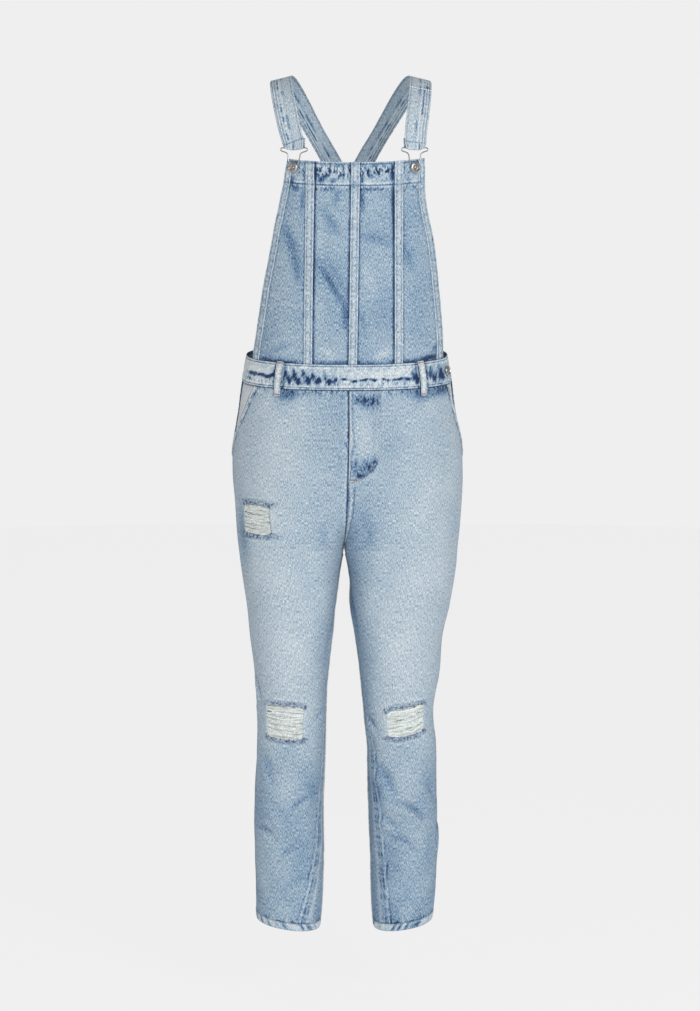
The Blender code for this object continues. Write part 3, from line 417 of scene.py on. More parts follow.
# The body form at a level: its outermost and inner places, how far the legs have parted
# (gap and cleft), its depths, its tilts and how square it is.
BODY_COLUMNS = ("level", "right_out", "left_out", "fork", "gap", "cleft",
                "front", "back", "middle", "tilt_back", "tilt_out", "square", "square_in")
BODY_ROWS = (
    (-0.425, -0.1590, 0.1570, 0.0030, 0.0000, 0.00, 0.106, 0.092, 0.000, 0.085, 0.00, 2.25, 3.2),
    (-0.473, -0.1675, 0.1655, 0.0030, 0.0000, 0.00, 0.108, 0.099, 0.000, 0.070, 0.00, 2.25, 3.2),
    (-0.521, -0.1745, 0.1720, 0.0030, 0.0000, 0.00, 0.110, 0.108, 0.000, 0.060, 0.00, 2.25, 3.2),
    (-0.569, -0.1820, 0.1815, 0.0025, 0.0000, 0.08, 0.112, 0.116, 0.000, 0.050, 0.00, 2.25, 3.2),
    (-0.620, -0.1830, 0.1840, 0.0015, 0.0000, 0.36, 0.112, 0.120, 0.001, 0.040, 0.00, 2.25, 3.2),
    (-0.665, -0.1795, 0.1825, 0.0000, 0.0000, 0.65, 0.110, 0.119, 0.003, 0.030, 0.00, 2.25, 3.2),
    (-0.700, -0.1775, 0.1800, -0.0025, 0.0000, 0.85, 0.107, 0.115, 0.006, 0.015, 0.00, 2.25, 3.2),
    (-0.722, -0.1760, 0.1780, -0.0043, 0.0000, 0.95, 0.104, 0.111, 0.008, 0.006, 0.00, 2.25, 3.2),
    (-0.738, -0.1745, 0.1765, -0.0055, 0.0000, 1.00, 0.101, 0.107, 0.010, 0.000, 0.00, 2.25, 3.2),
    (-0.775, -0.1705, 0.1740, -0.0050, 0.0070, 1.00, 0.095, 0.100, 0.010, 0.000, 0.00, 2.25, 3.0),
    (-0.835, -0.1620, 0.1640, -0.0065, 0.0135, 1.00, 0.083, 0.090, 0.007, 0.000, 0.02, 2.25, 2.7),
    (-0.884, -0.1570, 0.1535, -0.0065, 0.0200, 1.00, 0.074, 0.081, 0.005, 0.010, 0.04, 2.20, 2.4),
    (-0.945, -0.1495, 0.1485, -0.0055, 0.0265, 1.00, 0.067, 0.071, 0.003, 0.020, 0.05, 2.20, 2.2),
    (-1.007, -0.1465, 0.1380, -0.0040, 0.0315, 1.00, 0.063, 0.064, 0.002, 0.030, 0.06, 2.20, 2.2),
    (-1.070, -0.1460, 0.1430, -0.0020, 0.0345, 1.00, 0.060, 0.064, 0.005, 0.040, 0.08, 2.20, 2.2),
    (-1.150, -0.1505, 0.1445, -0.0030, 0.0365, 1.00, 0.058, 0.064, 0.010, 0.055, 0.10, 2.20, 2.2),
    (-1.230, -0.1510, 0.1460, -0.0010, 0.0380, 1.00, 0.054, 0.060, 0.012, 0.070, 0.12, 2.20, 2.2),
    (-1.300, -0.1500, 0.1435, -0.0010, 0.0395, 1.00, 0.051, 0.055, 0.012, 0.080, 0.14, 2.20, 2.2),
    (-1.365, -0.1490, 0.1385, -0.0015, 0.0435, 1.00, 0.050, 0.052, 0.012, 0.090, 0.15, 2.20, 2.2),
)

RIP_COLUMNS = ("name", "side", "top", "bottom", "outer", "inner", "rise")
RIP_ROWS = (
    ("rip_thigh", -1, -0.6580, -0.7100, 0.270, 0.500, 0.00),
    ("rip_knee_right", -1, -0.9860, -1.0420, 0.270, 0.625, 0.00),
    ("rip_knee_left", 1, -0.9890, -1.0360, 0.270, 0.625, 0.17),
)

# The folds of each panel, by its leg's side and its half (-1 front, 1 back): level and
# share round at the middle, half-length across, half-height, slope and depth out.
FOLDS = {
    (-1, -1): (
        (-0.955, 0.62, 0.50, 0.020, 0.10, -0.0035), (-1.128, 0.55, 0.55, 0.022, 0.30, -0.0040),
        (-1.182, 0.60, 0.50, 0.020, -0.25, -0.0035)),
    (1, -1): (
        (-1.060, 0.62, 0.50, 0.022, -0.35, -0.0040), (-1.150, 0.55, 0.55, 0.022, 0.25, -0.0040),
        (-1.205, 0.45, 0.50, 0.020, -0.20, -0.0035)),
    (-1, 1): (
        (-0.985, 0.50, 0.60, 0.022, 0.15, -0.0050), (-1.035, 0.55, 0.55, 0.020, -0.20, -0.0045),
        (-0.790, 0.55, 0.50, 0.034, 0.40, -0.0045)),
    (1, 1): (
        (-0.990, 0.50, 0.60, 0.022, -0.15, -0.0050), (-1.040, 0.45, 0.55, 0.020, 0.20, -0.0045),
        (-0.796, 0.55, 0.50, 0.034, 0.40, -0.0045)),
}


class Row:
    """One row of a table, its columns read by name."""

    def __init__(self, columns, values):
        self.__dict__.update(zip(columns, values))


class Table:
    """A table whose columns are read at any level by a smooth curve through its rows."""

    def __init__(self, columns, rows):
        self.columns = columns
        self.rows = np.array(sorted(rows))

    def at(self, level):
        rows = self.rows
        index = int(np.clip(np.searchsorted(rows[:, 0], level) - 1, 0, len(rows) - 2))
        before, low = rows[max(index - 1, 0)], rows[index]
        high, after = rows[index + 1], rows[min(index + 2, len(rows) - 1)]
        step = high[0] - low[0]
        t = (level - low[0]) / step
        slope_low = step * (high - before) / (high[0] - before[0])
        slope_high = step * (after - low) / (after[0] - low[0])
        values = (low * (2 * t**3 - 3 * t**2 + 1) + slope_low * (t**3 - 2 * t**2 + t)
                  + high * (3 * t**2 - 2 * t**3) + slope_high * (t**3 - t**2))
        return Row(self.columns, values)


BODY = Table(BODY_COLUMNS, BODY_ROWS)
RIPS = [Row(RIP_COLUMNS, values) for values in RIP_ROWS]


def signed_power(values, power):
    """Values raised to a power, their signs kept."""
    return np.sign(values) * np.abs(values) ** power


def leg_form(side, turns, level):
    """Points of the body form at one level: turn -1 is the front inner edge, 0 the side
    seam and 1 the back inner edge of the leg on that side."""
    row = BODY.at(level)
    turns = np.asarray(turns, float)
    inner = row.fork + side * max(row.gap, WELD)
    outer = row.left_out if side > 0 else row.right_out
    cleft = min(max(row.cleft, 0.0), 1.0)
    half_width = abs(outer - inner) / (1 + cleft)
    centre = inner + side * half_width * cleft
    angles = turns * (math.pi - math.acos(cleft ** (row.square_in / 2)))
    power = np.where(np.abs(angles) < math.pi / 2, 2 / row.square, 2 / row.square_in)
    out = half_width * signed_power(np.cos(angles), power)
    depth = np.where(angles < 0, row.front, row.back)
    back = row.middle + depth * signed_power(np.sin(angles), power)
    height = level + row.tilt_back * back + row.tilt_out * out
    return np.stack([centre + side * out, back, height], axis=-1)


TURNS = 41                              # measured round a panel


def lengths_round(side, half, level):
    """Even turns of a panel at a level and the length round to each."""
    turns = np.linspace(0, half, TURNS)
    return turns, run_lengths(leg_form(side, turns, level))


def panel_row(side, half, shares, level):
    """Points at shares round a panel, and how far round each is in metres."""
    turns, lengths = lengths_round(side, half, level)
    even = min(lengths[-1], PANEL_REACH[half])
    wanted = shares * even + shares ** 5 * (lengths[-1] - even)
    return leg_form(side, np.interp(wanted, lengths, turns), level), wanted


def share_from_inside(side, half, distance, level):
    """The share that lies a distance short of a panel's inner edge."""
    length = lengths_round(side, half, level)[1][-1]
    even = min(length, PANEL_REACH[half])
    return 1 - distance / (even + 5 * (length - even))


def pocket_share(side, level):
    """Where the pocket mouth crosses a level, as a share round from the side seam."""
    rise = max((level - POCKET_FOOT) / (WAIST_SEAM - POCKET_FOOT), 0)
    return POCKET_TOP_SHARE[side] * rise ** 0.9


CELLS = 6                               # grid cells to each cell of the solid's panel
RIP_STEP = 0.0045                       # about how wide those cells are at the rips
FRONT_SHARES = (0.0, 0.090, 0.180, 0.270, 0.385, 0.500, 0.625, 0.745, 0.872, 1.0)
EDGE_STEPS = np.array((0.0, 0.0012, 0.0040))    # extra columns at a sewn edge
FINE_SHARES = np.concatenate([np.linspace(a, b, CELLS, endpoint=False)
                              for a, b in zip(FRONT_SHARES, FRONT_SHARES[1:])] + [[1.0]])
BACK_SHARES = np.linspace(0, 1, 54)


def leg_shares(side, half, level):
    """The shares of a panel's columns at a level, from its outer to its inner edge."""
    length = lengths_round(side, half, level)[1][-1]
    start = SEAM_GAP / 2 / length
    if half < 0 and level > POCKET_FOOT:
        start = max(pocket_share(side, level), start)
    hem = start + POCKET_HEM / length
    strip_edge = share_from_inside(side, half, FELLED_SEAM, level)
    middle = hem + (strip_edge - hem) * (FINE_SHARES if half < 0 else BACK_SHARES)
    last = share_from_inside(side, half, WELD, level)
    inner = strip_edge + (last - strip_edge) * np.array((0.35, 0.70, 0.92, 1.0))
    return np.concatenate([start + EDGE_STEPS / length, middle, inner])


def leg_levels(side):
    """The levels of a panel's rows: close below the waist seam and at a rip's edges."""
    edges = [edge for rip in RIPS if rip.side == side for edge in (rip.top, rip.bottom)]
    marks = [WAIST_SEAM - SEAM_GAP * 1.4] + edges + [HEM_SEAM]
    levels = [marks[0]]
    for high, low in zip(marks, marks[1:]):
        fine = np.linspace(high, low, 400)
        near = np.min(np.abs(fine[:, None] - np.array(edges + marks[:1])), axis=1)
        pitch = np.where(near < 0.009, FINE_PITCH, ROW_PITCH)
        steps = np.concatenate([[0], np.cumsum(-np.diff(fine) / pitch[1:])])
        wanted = np.linspace(0, steps[-1], max(1, round(steps[-1])) + 1)[1:]
        levels += list(np.interp(wanted, steps, fine))
    return np.array(levels)


def rip_lift(side, shares, level):
    """How far the levels of a front panel are raised so that a slanted rip is level."""
    lift = np.zeros_like(shares)
    for rip in RIPS:
        if rip.side == side:
            near = max(0.0, 1 - abs(level - (rip.top + rip.bottom) / 2) / 0.075)
            lift += rip.rise * ((rip.outer + rip.inner) / 2 - shares) * 0.2 * near
    return lift


def fold_heights(side, half, shares, levels):
    """How far the folds move each point of a panel out (negative is in)."""
    total = np.zeros(np.broadcast_shapes(shares.shape, levels.shape))
    for level, share, reach, height, slope, depth in FOLDS[side, half]:
        across = (shares - share) / reach
        up = (levels - (level - slope * (shares - share) * 0.10)) / height
        fade = np.clip(1 - across * across, 0, 1) ** 2
        total += depth * fade * (np.exp(-up * up) - 0.45 * np.exp(-(up / 2) ** 2))
    return total


# Small creases, each a sharp trough with a soft ridge below it, most where a leg bends:
# level, share, half-length, half-width, angle up towards the outer side, depth.
CREASES = {
    (-1, -1): (
        (-1.143, 0.60, 0.021, 0.0045, -34, 0.0024), (-1.199, 0.30, 0.021, 0.0045, 22, 0.0024),
        (-1.222, 0.50, 0.024, 0.0060, -40, 0.0012), (-1.160, 0.42, 0.026, 0.0070, 50, 0.0010),
        (-1.090, 0.30, 0.030, 0.0075, 62, 0.0012), (-1.270, 0.62, 0.030, 0.0070, -25, 0.0010),
        (-0.968, 0.17, 0.018, 0.0030, 66, 0.0020), (-1.000, 0.80, 0.020, 0.0040, -30, 0.0012),
        (-0.700, 0.82, 0.045, 0.0090, -62, 0.0010), (-0.880, 0.86, 0.040, 0.0080, -70, 0.0012)),
    (1, -1): (
        (-1.156, 0.42, 0.027, 0.0048, -36, 0.0036), (-1.176, 0.62, 0.018, 0.0050, -40, 0.0022),
        (-1.208, 0.50, 0.030, 0.0062, -34, 0.0022), (-1.102, 0.64, 0.026, 0.0075, -54, 0.0024),
        (-1.004, 0.78, 0.019, 0.0038, -44, 0.0020), (-1.222, 0.10, 0.030, 0.0040, 72, 0.0016),
        (-1.250, 0.60, 0.026, 0.0070, -20, 0.0010), (-1.135, 0.20, 0.024, 0.0060, -60, 0.0012),
        (-0.700, 0.82, 0.050, 0.0090, -66, 0.0012), (-0.840, 0.88, 0.045, 0.0080, -74, 0.0014)),
    (-1, 1): (
        (-0.985, 0.42, 0.050, 0.0065, 10, 0.0034), (-1.018, 0.62, 0.042, 0.0060, -16, 0.0030),
        (-1.050, 0.30, 0.034, 0.0060, 24, 0.0020), (-0.905, 0.72, 0.045, 0.0085, -28, 0.0018),
        (-1.120, 0.40, 0.035, 0.0070, 24, 0.0018), (-1.205, 0.60, 0.035, 0.0070, -24, 0.0018),
        (-0.802, 0.74, 0.050, 0.0085, 26, 0.0026), (-0.768, 0.84, 0.035, 0.0070, 34, 0.0018)),
    (1, 1): (
        (-0.990, 0.44, 0.050, 0.0065, -8, 0.0034), (-1.026, 0.60, 0.042, 0.0060, 18, 0.0030),
        (-1.056, 0.34, 0.034, 0.0060, -22, 0.0020), (-0.908, 0.68, 0.045, 0.0085, -24, 0.0018),
        (-1.130, 0.42, 0.035, 0.0070, -24, 0.0018), (-1.215, 0.58, 0.035, 0.0070, 24, 0.0018),
        (-0.808, 0.76, 0.050, 0.0085, 24, 0.0026), (-0.772, 0.85, 0.035, 0.0070, 32, 0.0018)),
}


def crease_heights(side, half, across, levels, widths):
    """The small creases of a panel, and how worn or dark they leave it, which is partly painted shade
    in each trough and a painted highlight beside it; across is in metres and widths the row's length."""
    total, marks = np.zeros(across.shape), np.zeros(across.shape)
    for level, share, length, width, angle, depth in CREASES[side, half]:
        turn = math.radians(angle)
        over, up = across - share * widths, levels - level
        along = up * math.sin(turn) - over * math.cos(turn)
        beside = over * math.sin(turn) + up * math.cos(turn)
        beside = beside + 0.20 * length * (along / length) ** 2
        fade = hump(along, 0, length)
        trough = hump(beside, 0, width)
        total += 2.3 * depth * fade * (0.75 * hump(beside, -2.1 * width, 1.6 * width) - trough)
        marks += depth / 0.0024 * fade * (
            hump(beside, -0.2 * width, 0.45 * width) + 0.3 * trough
            - 0.45 * hump(beside, -1.7 * width, 0.8 * width)
            - 0.30 * hump(beside, 1.6 * width, 0.8 * width))
    return total, marks


CORNER = 0.0045                         # how round the corners of the rips are


def fray_outline(points, levels, side):
    """Rounds the corners of the rips and makes their edges uneven."""
    columns = np.arange(points.shape[1])[None, :]
    falls, runs = unit(np.gradient(points, axis=0)), unit(np.gradient(points, axis=1))
    levels = levels[:, None]
    for number, rip in enumerate(RIPS):
        if rip.side != side:
            continue
        left, right = rip_columns(rip)
        t = (columns - left) / (right - left) * 2 - 1
        inside = hump(np.maximum(np.abs(t) - 1, 0), 0, 0.35)
        corner = np.minimum(np.abs(t), 1) ** 5 * CORNER
        for edge, sign in ((rip.top, 1), (rip.bottom, -1)):
            uneven = mottle(columns * RIP_STEP, edge, 0.007, 1.0, 60 + number + sign) * 0.0012
            pull = (corner + uneven) * inside * hump(levels, edge, 0.010) * sign
            points = points + falls * pull[..., None]
        middle = (rip.top + rip.bottom) / 2
        reach = np.exp(-((levels - middle) / (rip.top - rip.bottom) / 0.5) ** 6)
        for edge in (left, right):
            uneven = mottle(edge, levels, 1.0, 0.0045, 66 + number) * 0.0011
            points = points + runs * (uneven * hump(columns, edge, 1.6) * reach)[..., None]
    return points


def rip_columns(rip):
    """The grid columns of a front panel between which a rip lies."""
    first = len(EDGE_STEPS)
    return (first + FRONT_SHARES.index(rip.outer) * CELLS,
            first + FRONT_SHARES.index(rip.inner) * CELLS)


def lay_leg_panel(side, half):
    """Lays one leg panel with its folds, creases, puckered edges, painted wash and painted shade."""
    levels = leg_levels(side)
    points, across, shares = [], [], []
    for level in levels:
        row_shares = leg_shares(side, half, level)
        lift = rip_lift(side, row_shares, level) if half < 0 else np.zeros_like(row_shares)
        if np.any(lift):
            spots = [panel_row(side, half, np.array([share]), level + rise)
                     for share, rise in zip(row_shares, lift)]
            points.append(np.concatenate([spot[0] for spot in spots]))
            across.append(np.concatenate([spot[1] for spot in spots]))
        else:
            row_points, row_across = panel_row(side, half, row_shares, level)
            points.append(row_points)
            across.append(row_across)
        shares.append(row_shares)
    points, across, shares = np.array(points), np.array(across), np.array(shares)
    if half < 0:
        points = fray_outline(points, levels, side)
    down = np.broadcast_to(levels[:, None], across.shape)
    cloth = Cloth(points, -side * half, across=across, down=-down)
    cloth.shares, cloth.levels = shares, levels
    from_side = across - across[:, :1]
    creases, marks = crease_heights(side, half, across, down, across[:, -1:])
    seed = 40 + side + 3 * half
    ripple = mottle(across, down, 0.045, 0.060, seed) * 0.0006
    ripple += mottle(across, down, 0.018, 0.026, seed + 9) * 0.00025 * ramp_up(-down, 0.98, 1.10)
    below_band = np.exp(-(WAIST_SEAM - down) / 0.009)
    above_hem = np.exp(-(down - HEM_SEAM) / 0.007)
    puckers = mottle(across, down, 0.0080, 0.05, seed + 20) * (below_band + 0.8 * above_hem)
    along_side = mottle(down, across, 0.010, 0.05, seed + 30) * np.exp(-from_side / 0.006)
    seam_dip = np.exp(-from_side / 0.0016) * (down < POCKET_FOOT)
    welt = seam_welt(cloth, side) if half < 0 else 0.0
    cloth.raise_by(fold_heights(side, half, shares, down) + creases + ripple
                   + puckers * 0.0007 + along_side * 0.0003 - 0.0010 * seam_dip
                   + 0.0006 * (welt > 0.05) * ramp_up(welt, 0.05, 0.5))
    wash_leg(cloth, side, half, marks, puckers, from_side)
    return cloth


WELT_LEVELS = (0.93, 1.04, 1.13, 1.22, 1.30, 1.345)
WELT_PLACES = {-1: (0.014, 0.022, 0.028, 0.038, 0.054, 0.064),
               1: (0.016, 0.036, 0.046, 0.051, 0.054, 0.055)}


def welt_distance(levels, side):
    """How far from the inner edge of a front panel the seam allowance behind it ends: the
    leg twists, so that it comes forward below the knee."""
    return np.interp(-levels, WELT_LEVELS, WELT_PLACES[side])


def seam_welt(cloth, side):
    """The ridge that the inner seam's allowance prints through a front panel."""
    levels = cloth.levels[:, None]
    away = cloth.across[:, -1:] - cloth.across - welt_distance(levels, side)
    return hump(away, 0.0, 0.0022) * ramp_up(-levels, 0.92, 1.02)


# Where a front panel is darker or paler: x, level, half-width, half-height, depth. Those
# round the feet of the belt loops are painted shadow, and the one at the right leg's outer
# thigh is painted shade.
WAIST_PATCHES = (
    (-0.100, -0.482, 0.014, 0.012, 0.30), (-0.085, -0.480, 0.010, 0.008, 0.22),
    (-0.060, -0.478, 0.012, 0.005, 0.12), (-0.150, -0.480, 0.008, 0.012, 0.20),
    (0.116, -0.482, 0.014, 0.012, 0.34), (0.136, -0.480, 0.014, 0.009, 0.26),
    (0.152, -0.478, 0.010, 0.010, 0.40), (0.095, -0.478, 0.010, 0.005, 0.12),
    (-0.010, -0.560, 0.012, 0.080, 0.05), (0.068, -0.530, 0.014, 0.070, 0.06),
    (0.024, -0.690, 0.018, 0.050, 0.06), (-0.030, -0.520, 0.030, 0.050, 0.04),
    (-0.105, -0.565, 0.045, 0.060, -0.08), (-0.164, -0.715, 0.009, 0.045, 0.22),
)
# What differs between the right leg and the left: the darkening inside the leg and at its side,
# partly dye and partly painted shade, deeper on the faces turned from the key lamp; the puckers
# along the outseam and how far they reach, and the worn strip by the welt.
INNER_DYE_AND_SHADE, SIDE_DYE_AND_SHADE = {-1: 0.11, 1: 0.20}, {-1: 0.14, 1: 0.09}
OUTSEAM_DYE, OUTSEAM_REACH = {-1: 0.20, 1: 0.44}, {-1: 0.010, 1: 0.014}
WELT_WORN = {-1: 0.10, 1: 0.06}


def welt_wash(from_inside, levels, side):
    """The dye along the welt: two rows of dark dashes, a dark line and a pale ridge."""
    welt = from_inside - welt_distance(levels, side)
    dots = ramp_up(mottle(levels, 0.0, 0.0036, 1.0, 79 + side), -0.1, 0.4)
    worn_line = 0.5 + 0.5 * mottle(levels, 0.0, 0.030, 1.0, 80 + side)
    return ramp_up(-levels, 0.92, 1.04) * (
        0.40 * dots * hump(welt, -0.0032, 0.0017) + 0.32 * dots * hump(welt, -0.0100, 0.0016)
        + 0.36 * worn_line * hump(welt, 0.0044, 0.0014) - 0.20 * hump(welt, 0.0012, 0.0016)
        - 0.12 * hump(welt, -0.0150, 0.0030) - WELT_WORN[side] * hump(welt, -0.0130, 0.0090))


def rip_wash(shares, levels, rip):
    """The dye round a rip: dark where it is torn above and below, pale at its sides."""
    left, right = rip_columns(rip)
    columns = np.arange(shares.shape[1])[None, :]
    inside = ramp_up(columns, left - 3, left) * (1 - ramp_up(columns, right, right + 3))
    total = np.zeros(shares.shape)
    for away in (levels - rip.top, rip.bottom - levels):
        torn = 0.7 + 0.5 * mottle(columns * RIP_STEP, away, 0.006, 0.02, 81)
        total += inside * torn * (0.30 * hump(away, 0.0010, 0.0026)
                                  + 0.22 * hump(away, 0.0066, 0.0014)
                                  - 0.12 * hump(away, 0.0092, 0.0016))
    beside = np.minimum(np.abs(columns - left), np.abs(columns - right))
    level_with = (ramp_up(levels, rip.bottom - 0.002, rip.bottom)
                  * (1 - ramp_up(levels, rip.top, rip.top + 0.002)))
    return total - 0.10 * hump(beside, 0, 1.6) * level_with


def wash_leg(cloth, side, half, marks, puckers, from_side):
    """Pale thighs and knees, bluer inside the legs, at the sides and on the shins, with
    the dye left where seams pucker and in the creases. Inside the legs and at the sides the
    darkening is partly painted shade, the creases carry painted shade and highlight, and the
    crotch has a painted shadow."""
    shares, levels = cloth.shares, cloth.levels[:, None]
    from_inside = cloth.across[:, -1:] - cloth.across
    worn = hump(levels, -0.80, 0.20) * hump(shares, 0.45, 0.30)
    knee = hump(levels, -0.96, 0.07) * hump(shares, 0.45, 0.35)
    shin = ramp_up(-levels, 1.03, 1.13)
    inner = ramp_up(shares, 0.60, 0.98) * ramp_up(-levels, 0.56, 0.78)
    below_mouth = ramp_up(-levels, 0.60, 0.66)
    patchy = mottle(shares * 0.2, levels, 0.024, 0.034, 71 + side)
    specks = mottle(levels, 0.3 * half, 0.0055, 1.0, 73 + side)
    dye = (0.455 - 0.12 * worn - 0.02 * knee + (0.12 + 0.05 * patchy) * shin
           # inside the leg and at its side: dye and painted shade
           - 0.06 * shin * hump(shares, 0.42, 0.16) + INNER_DYE_AND_SHADE[side] * inner * (1 - 0.5 * shin)
           + SIDE_DYE_AND_SHADE[side] * (1 - ramp_up(shares, 0.0, 0.16))
           + 0.04 * mottle(shares * 0.2, levels, 0.05, 0.07, 72)
           + 0.22 * ramp_up(specks, 0.0, 0.60) * hump(from_side, 0, 0.0050) * below_mouth
           # the creases' marks: partly painted shade in the troughs, painted highlight beside them
           + 0.06 * hump(from_side, 0, 0.010) * below_mouth + 0.10 * marks - 0.16 * puckers)
    if half > 0:
        dye = dye + 0.10 * np.exp(-from_inside / 0.004)
    else:
        beside_seam = np.maximum(from_inside - FELLED_SEAM * 0.9, 0)
        dye = dye + 0.08 * hump(beside_seam, 0, 0.0022) * ramp_up(-levels, 0.80, 0.92) * (
            0.55 + 0.45 * mottle(levels, 0.0, 0.020, 1.0, 78 + side))
        bunched = ramp_up(mottle(levels, 0.3 * half, 0.0090, 1.0, 76 + side), 0.42, 0.66)
        dye = dye + (OUTSEAM_DYE[side] * bunched * hump(from_side, 0, OUTSEAM_REACH[side])
                     * below_mouth)
        if side < 0:                    # the centre-front seam: a dark line, then a pale one
            from_seam = np.linalg.norm(cloth.points - cloth.points[:, -1:], axis=2)
            dye = dye + (levels > CROTCH) * (0.75 * hump(from_seam, 0, 0.0016)
                                             - 0.14 * hump(from_seam, 0.0042, 0.0014))
        # painted shadow at the crotch, where the legs part
        dye = dye + 0.50 * hump(levels, CROTCH - 0.004, 0.012) * hump(from_inside, 0, 0.009)
        mouth_line = (hump(from_side, POCKET_HEM + 0.0012, 0.0016)
                      * ramp_up(levels, POCKET_FOOT - 0.01, POCKET_FOOT))
        dye = dye + 0.55 * mouth_line * (0.6 + 0.7 * mottle(levels, 0.0, 0.006, 1.0, 83 + side))
        # patches of wash, with painted shadow round the belt loops and painted shade at the outer
        # thigh
        dye = dye + patches(cloth.points[..., 0], levels, WAIST_PATCHES)
        dye = dye + welt_wash(from_inside, levels, side)
        for rip in RIPS:
            if rip.side == side:
                dye = dye + rip_wash(shares, levels, rip)
    cloth.dye = dye
    cloth.drips = (0.42 * np.exp(-(WAIST_SEAM - levels) / 0.0075)
                   + 0.45 * np.exp(-(levels - HEM_SEAM) / 0.004))
    cloth.bars = 0.20 * hump(from_side, 0, 0.006)


def rip_cells(cloth, side):
    """The grid cells of a front panel that its rips leave open."""
    cells = set()
    for rip in RIPS:
        if rip.side == side:
            left, right = rip_columns(rip)
            top = int(np.argmin(np.abs(cloth.levels - rip.top)))
            foot = int(np.argmin(np.abs(cloth.levels - rip.bottom)))
            cells |= {(row, column) for row in range(top, foot)
                      for column in range(left, right)}
    return cells


panels = {}
for leg_side, side_name in SIDES:
    for panel_half, half_name in ((-1, "front"), (1, "back")):
        leg_cloth = lay_leg_panel(leg_side, panel_half)
        panels[half_name, leg_side] = leg_cloth
        torn_cells = rip_cells(leg_cloth, leg_side) if panel_half < 0 else ()
        cut_piece(f"{half_name}_{side_name}_leg", leg_cloth, DENIM, f"{half_name}_{side_name}",
                  holes=torn_cells)

# -------------------- pocket mouths and facings
# Behind each slanted mouth lies a facing of the same denim. The mouth's edge is turned
# under and sewn down twice with cotton thread, which has faded as the cloth has.

STRIP = 0.0010                          # how thick a turned and sewn edge stands
STRIP_COLUMNS = np.array((0.0, 0.05, 0.13, 0.22, 0.34, 0.50, 0.66, 0.78, 0.87, 0.95, 1.0))
STRIP_ROWS = (3, 7)                     # the columns that are sewn
STRIP_PITCH = 0.0018                    # the steps down it
FACING_FOOT, FACING_DEPTH, FACING_SHARE = -0.6060, 0.0023, 0.10


def strip_on(cloth, levels, bounds, lift, columns):
    """A strip laid on a leg panel; bounds gives, at a level, the two shares it spans, and
    columns the shares of its own width where its grid lines run."""
    points, shares = [], []
    for level in levels:
        start, stop = bounds(level)
        line = start + (stop - start) * columns
        spots, normals = cloth.line_at(line, level)
        points.append(spots + normals * lift)
        shares.append(line)
    strip = Cloth(points, cloth.outward)
    strip.levels, strip.shares = np.asarray(levels), np.array(shares)
    return strip


def even_levels(top, bottom, pitch):
    """Levels from the top down, in even steps of about the given pitch."""
    return np.linspace(top, bottom, max(2, round((top - bottom) / pitch) + 1))


def felled(strip, seed, ladder=0.14):
    """Shapes and washes a felled seam or turned edge: worn pale at its two edges, sunk at
    its two stitch rows, where the dye is left, and puckered between. ladder is how much
    dye stands in short bars across it."""
    share = strip.across / strip.across[:, -1:]
    pucker = mottle(strip.down, strip.across, 0.0064, 0.030, seed)
    fine = mottle(strip.down, strip.across, 0.0036, 0.020, seed + 1)
    dots = mottle(strip.down, strip.across, 0.0020, 0.004, seed + 2)
    rows = hump(share, 0.22, 0.10) + hump(share, 0.78, 0.10)
    edges = hump(share, 0.0, 0.06) + hump(share, 1.0, 0.06)
    strip.raise_by(pucker * 0.0003 + fine * 0.0001 - 0.0004 * rows - 0.0005 * edges)
    strip.dye = (0.33 - 0.05 * pucker - 0.05 * fine + rows * (0.24 + 0.20 * dots)
                 - 0.02 * hump(share, 0.5, 0.12) - 0.18 * edges)
    strip.bars = ladder * hump(share, 0.5, 0.32)


STITCH_PITCH, STITCH_LENGTH, THREAD = 0.0038, 0.0027, 0.0007


def cotton(name, scale, detail, stops):
    """Cotton yarn, matt, its colour drifting between stops in clouds. Gives the material,
    its tree and shader, its place and the clouds."""
    material, tree, shader = new_material(name)
    place = add_node(tree, "ShaderNodeTexCoord").outputs["Object"]
    cloud = add_node(tree, "ShaderNodeTexNoise", {
        "Vector": place, "Scale": scale, "Detail": detail}).outputs["Fac"]
    ramp = add_node(tree, "ShaderNodeValToRGB", {"Fac": cloud})
    first, last = ramp.color_ramp.elements
    first.position, last.position = stops[0][0], stops[-1][0]
    first.color, last.color = linear(stops[0][1]), linear(stops[-1][1])
    for spot, colour in stops[1:-1]:
        ramp.color_ramp.elements.new(spot).color = linear(colour)
    tree.links.new(ramp.outputs["Color"], shader.inputs["Base Color"])
    return material, tree, shader, place, cloud


def faded_thread(name, dark, middle, pale):
    """Cotton-wrapped thread, washed out unevenly, with the fine ridges of its twist."""
    material, tree, shader, place, _ = cotton(
        name, 90.0, 3.0, ((0.36, dark), (0.5, middle), (0.64, pale)))
    twist = add_node(tree, "ShaderNodeTexNoise", {"Vector": place, "Scale": 2500.0, "Detail": 0.0})
    bump = add_node(tree, "ShaderNodeBump", {
        "Height": twist.outputs["Fac"], "Strength": 0.4, "Distance": 0.0002})
    set_sockets(tree, shader, {"Normal": bump.outputs["Normal"], "Roughness": 0.75})
    return material


SEWING_THREAD = faded_thread("faded_sewing_thread", "5F6C80", "8B94A0", "BCC3C8")
TAN_THREAD = faded_thread("faded_tan_thread", "74655C", "9F8E83", "CFC6BE")
WHITE_THREAD = faded_thread("white_sewing_thread", "D9CFD2", "EFE9E9", "FAF7F5")


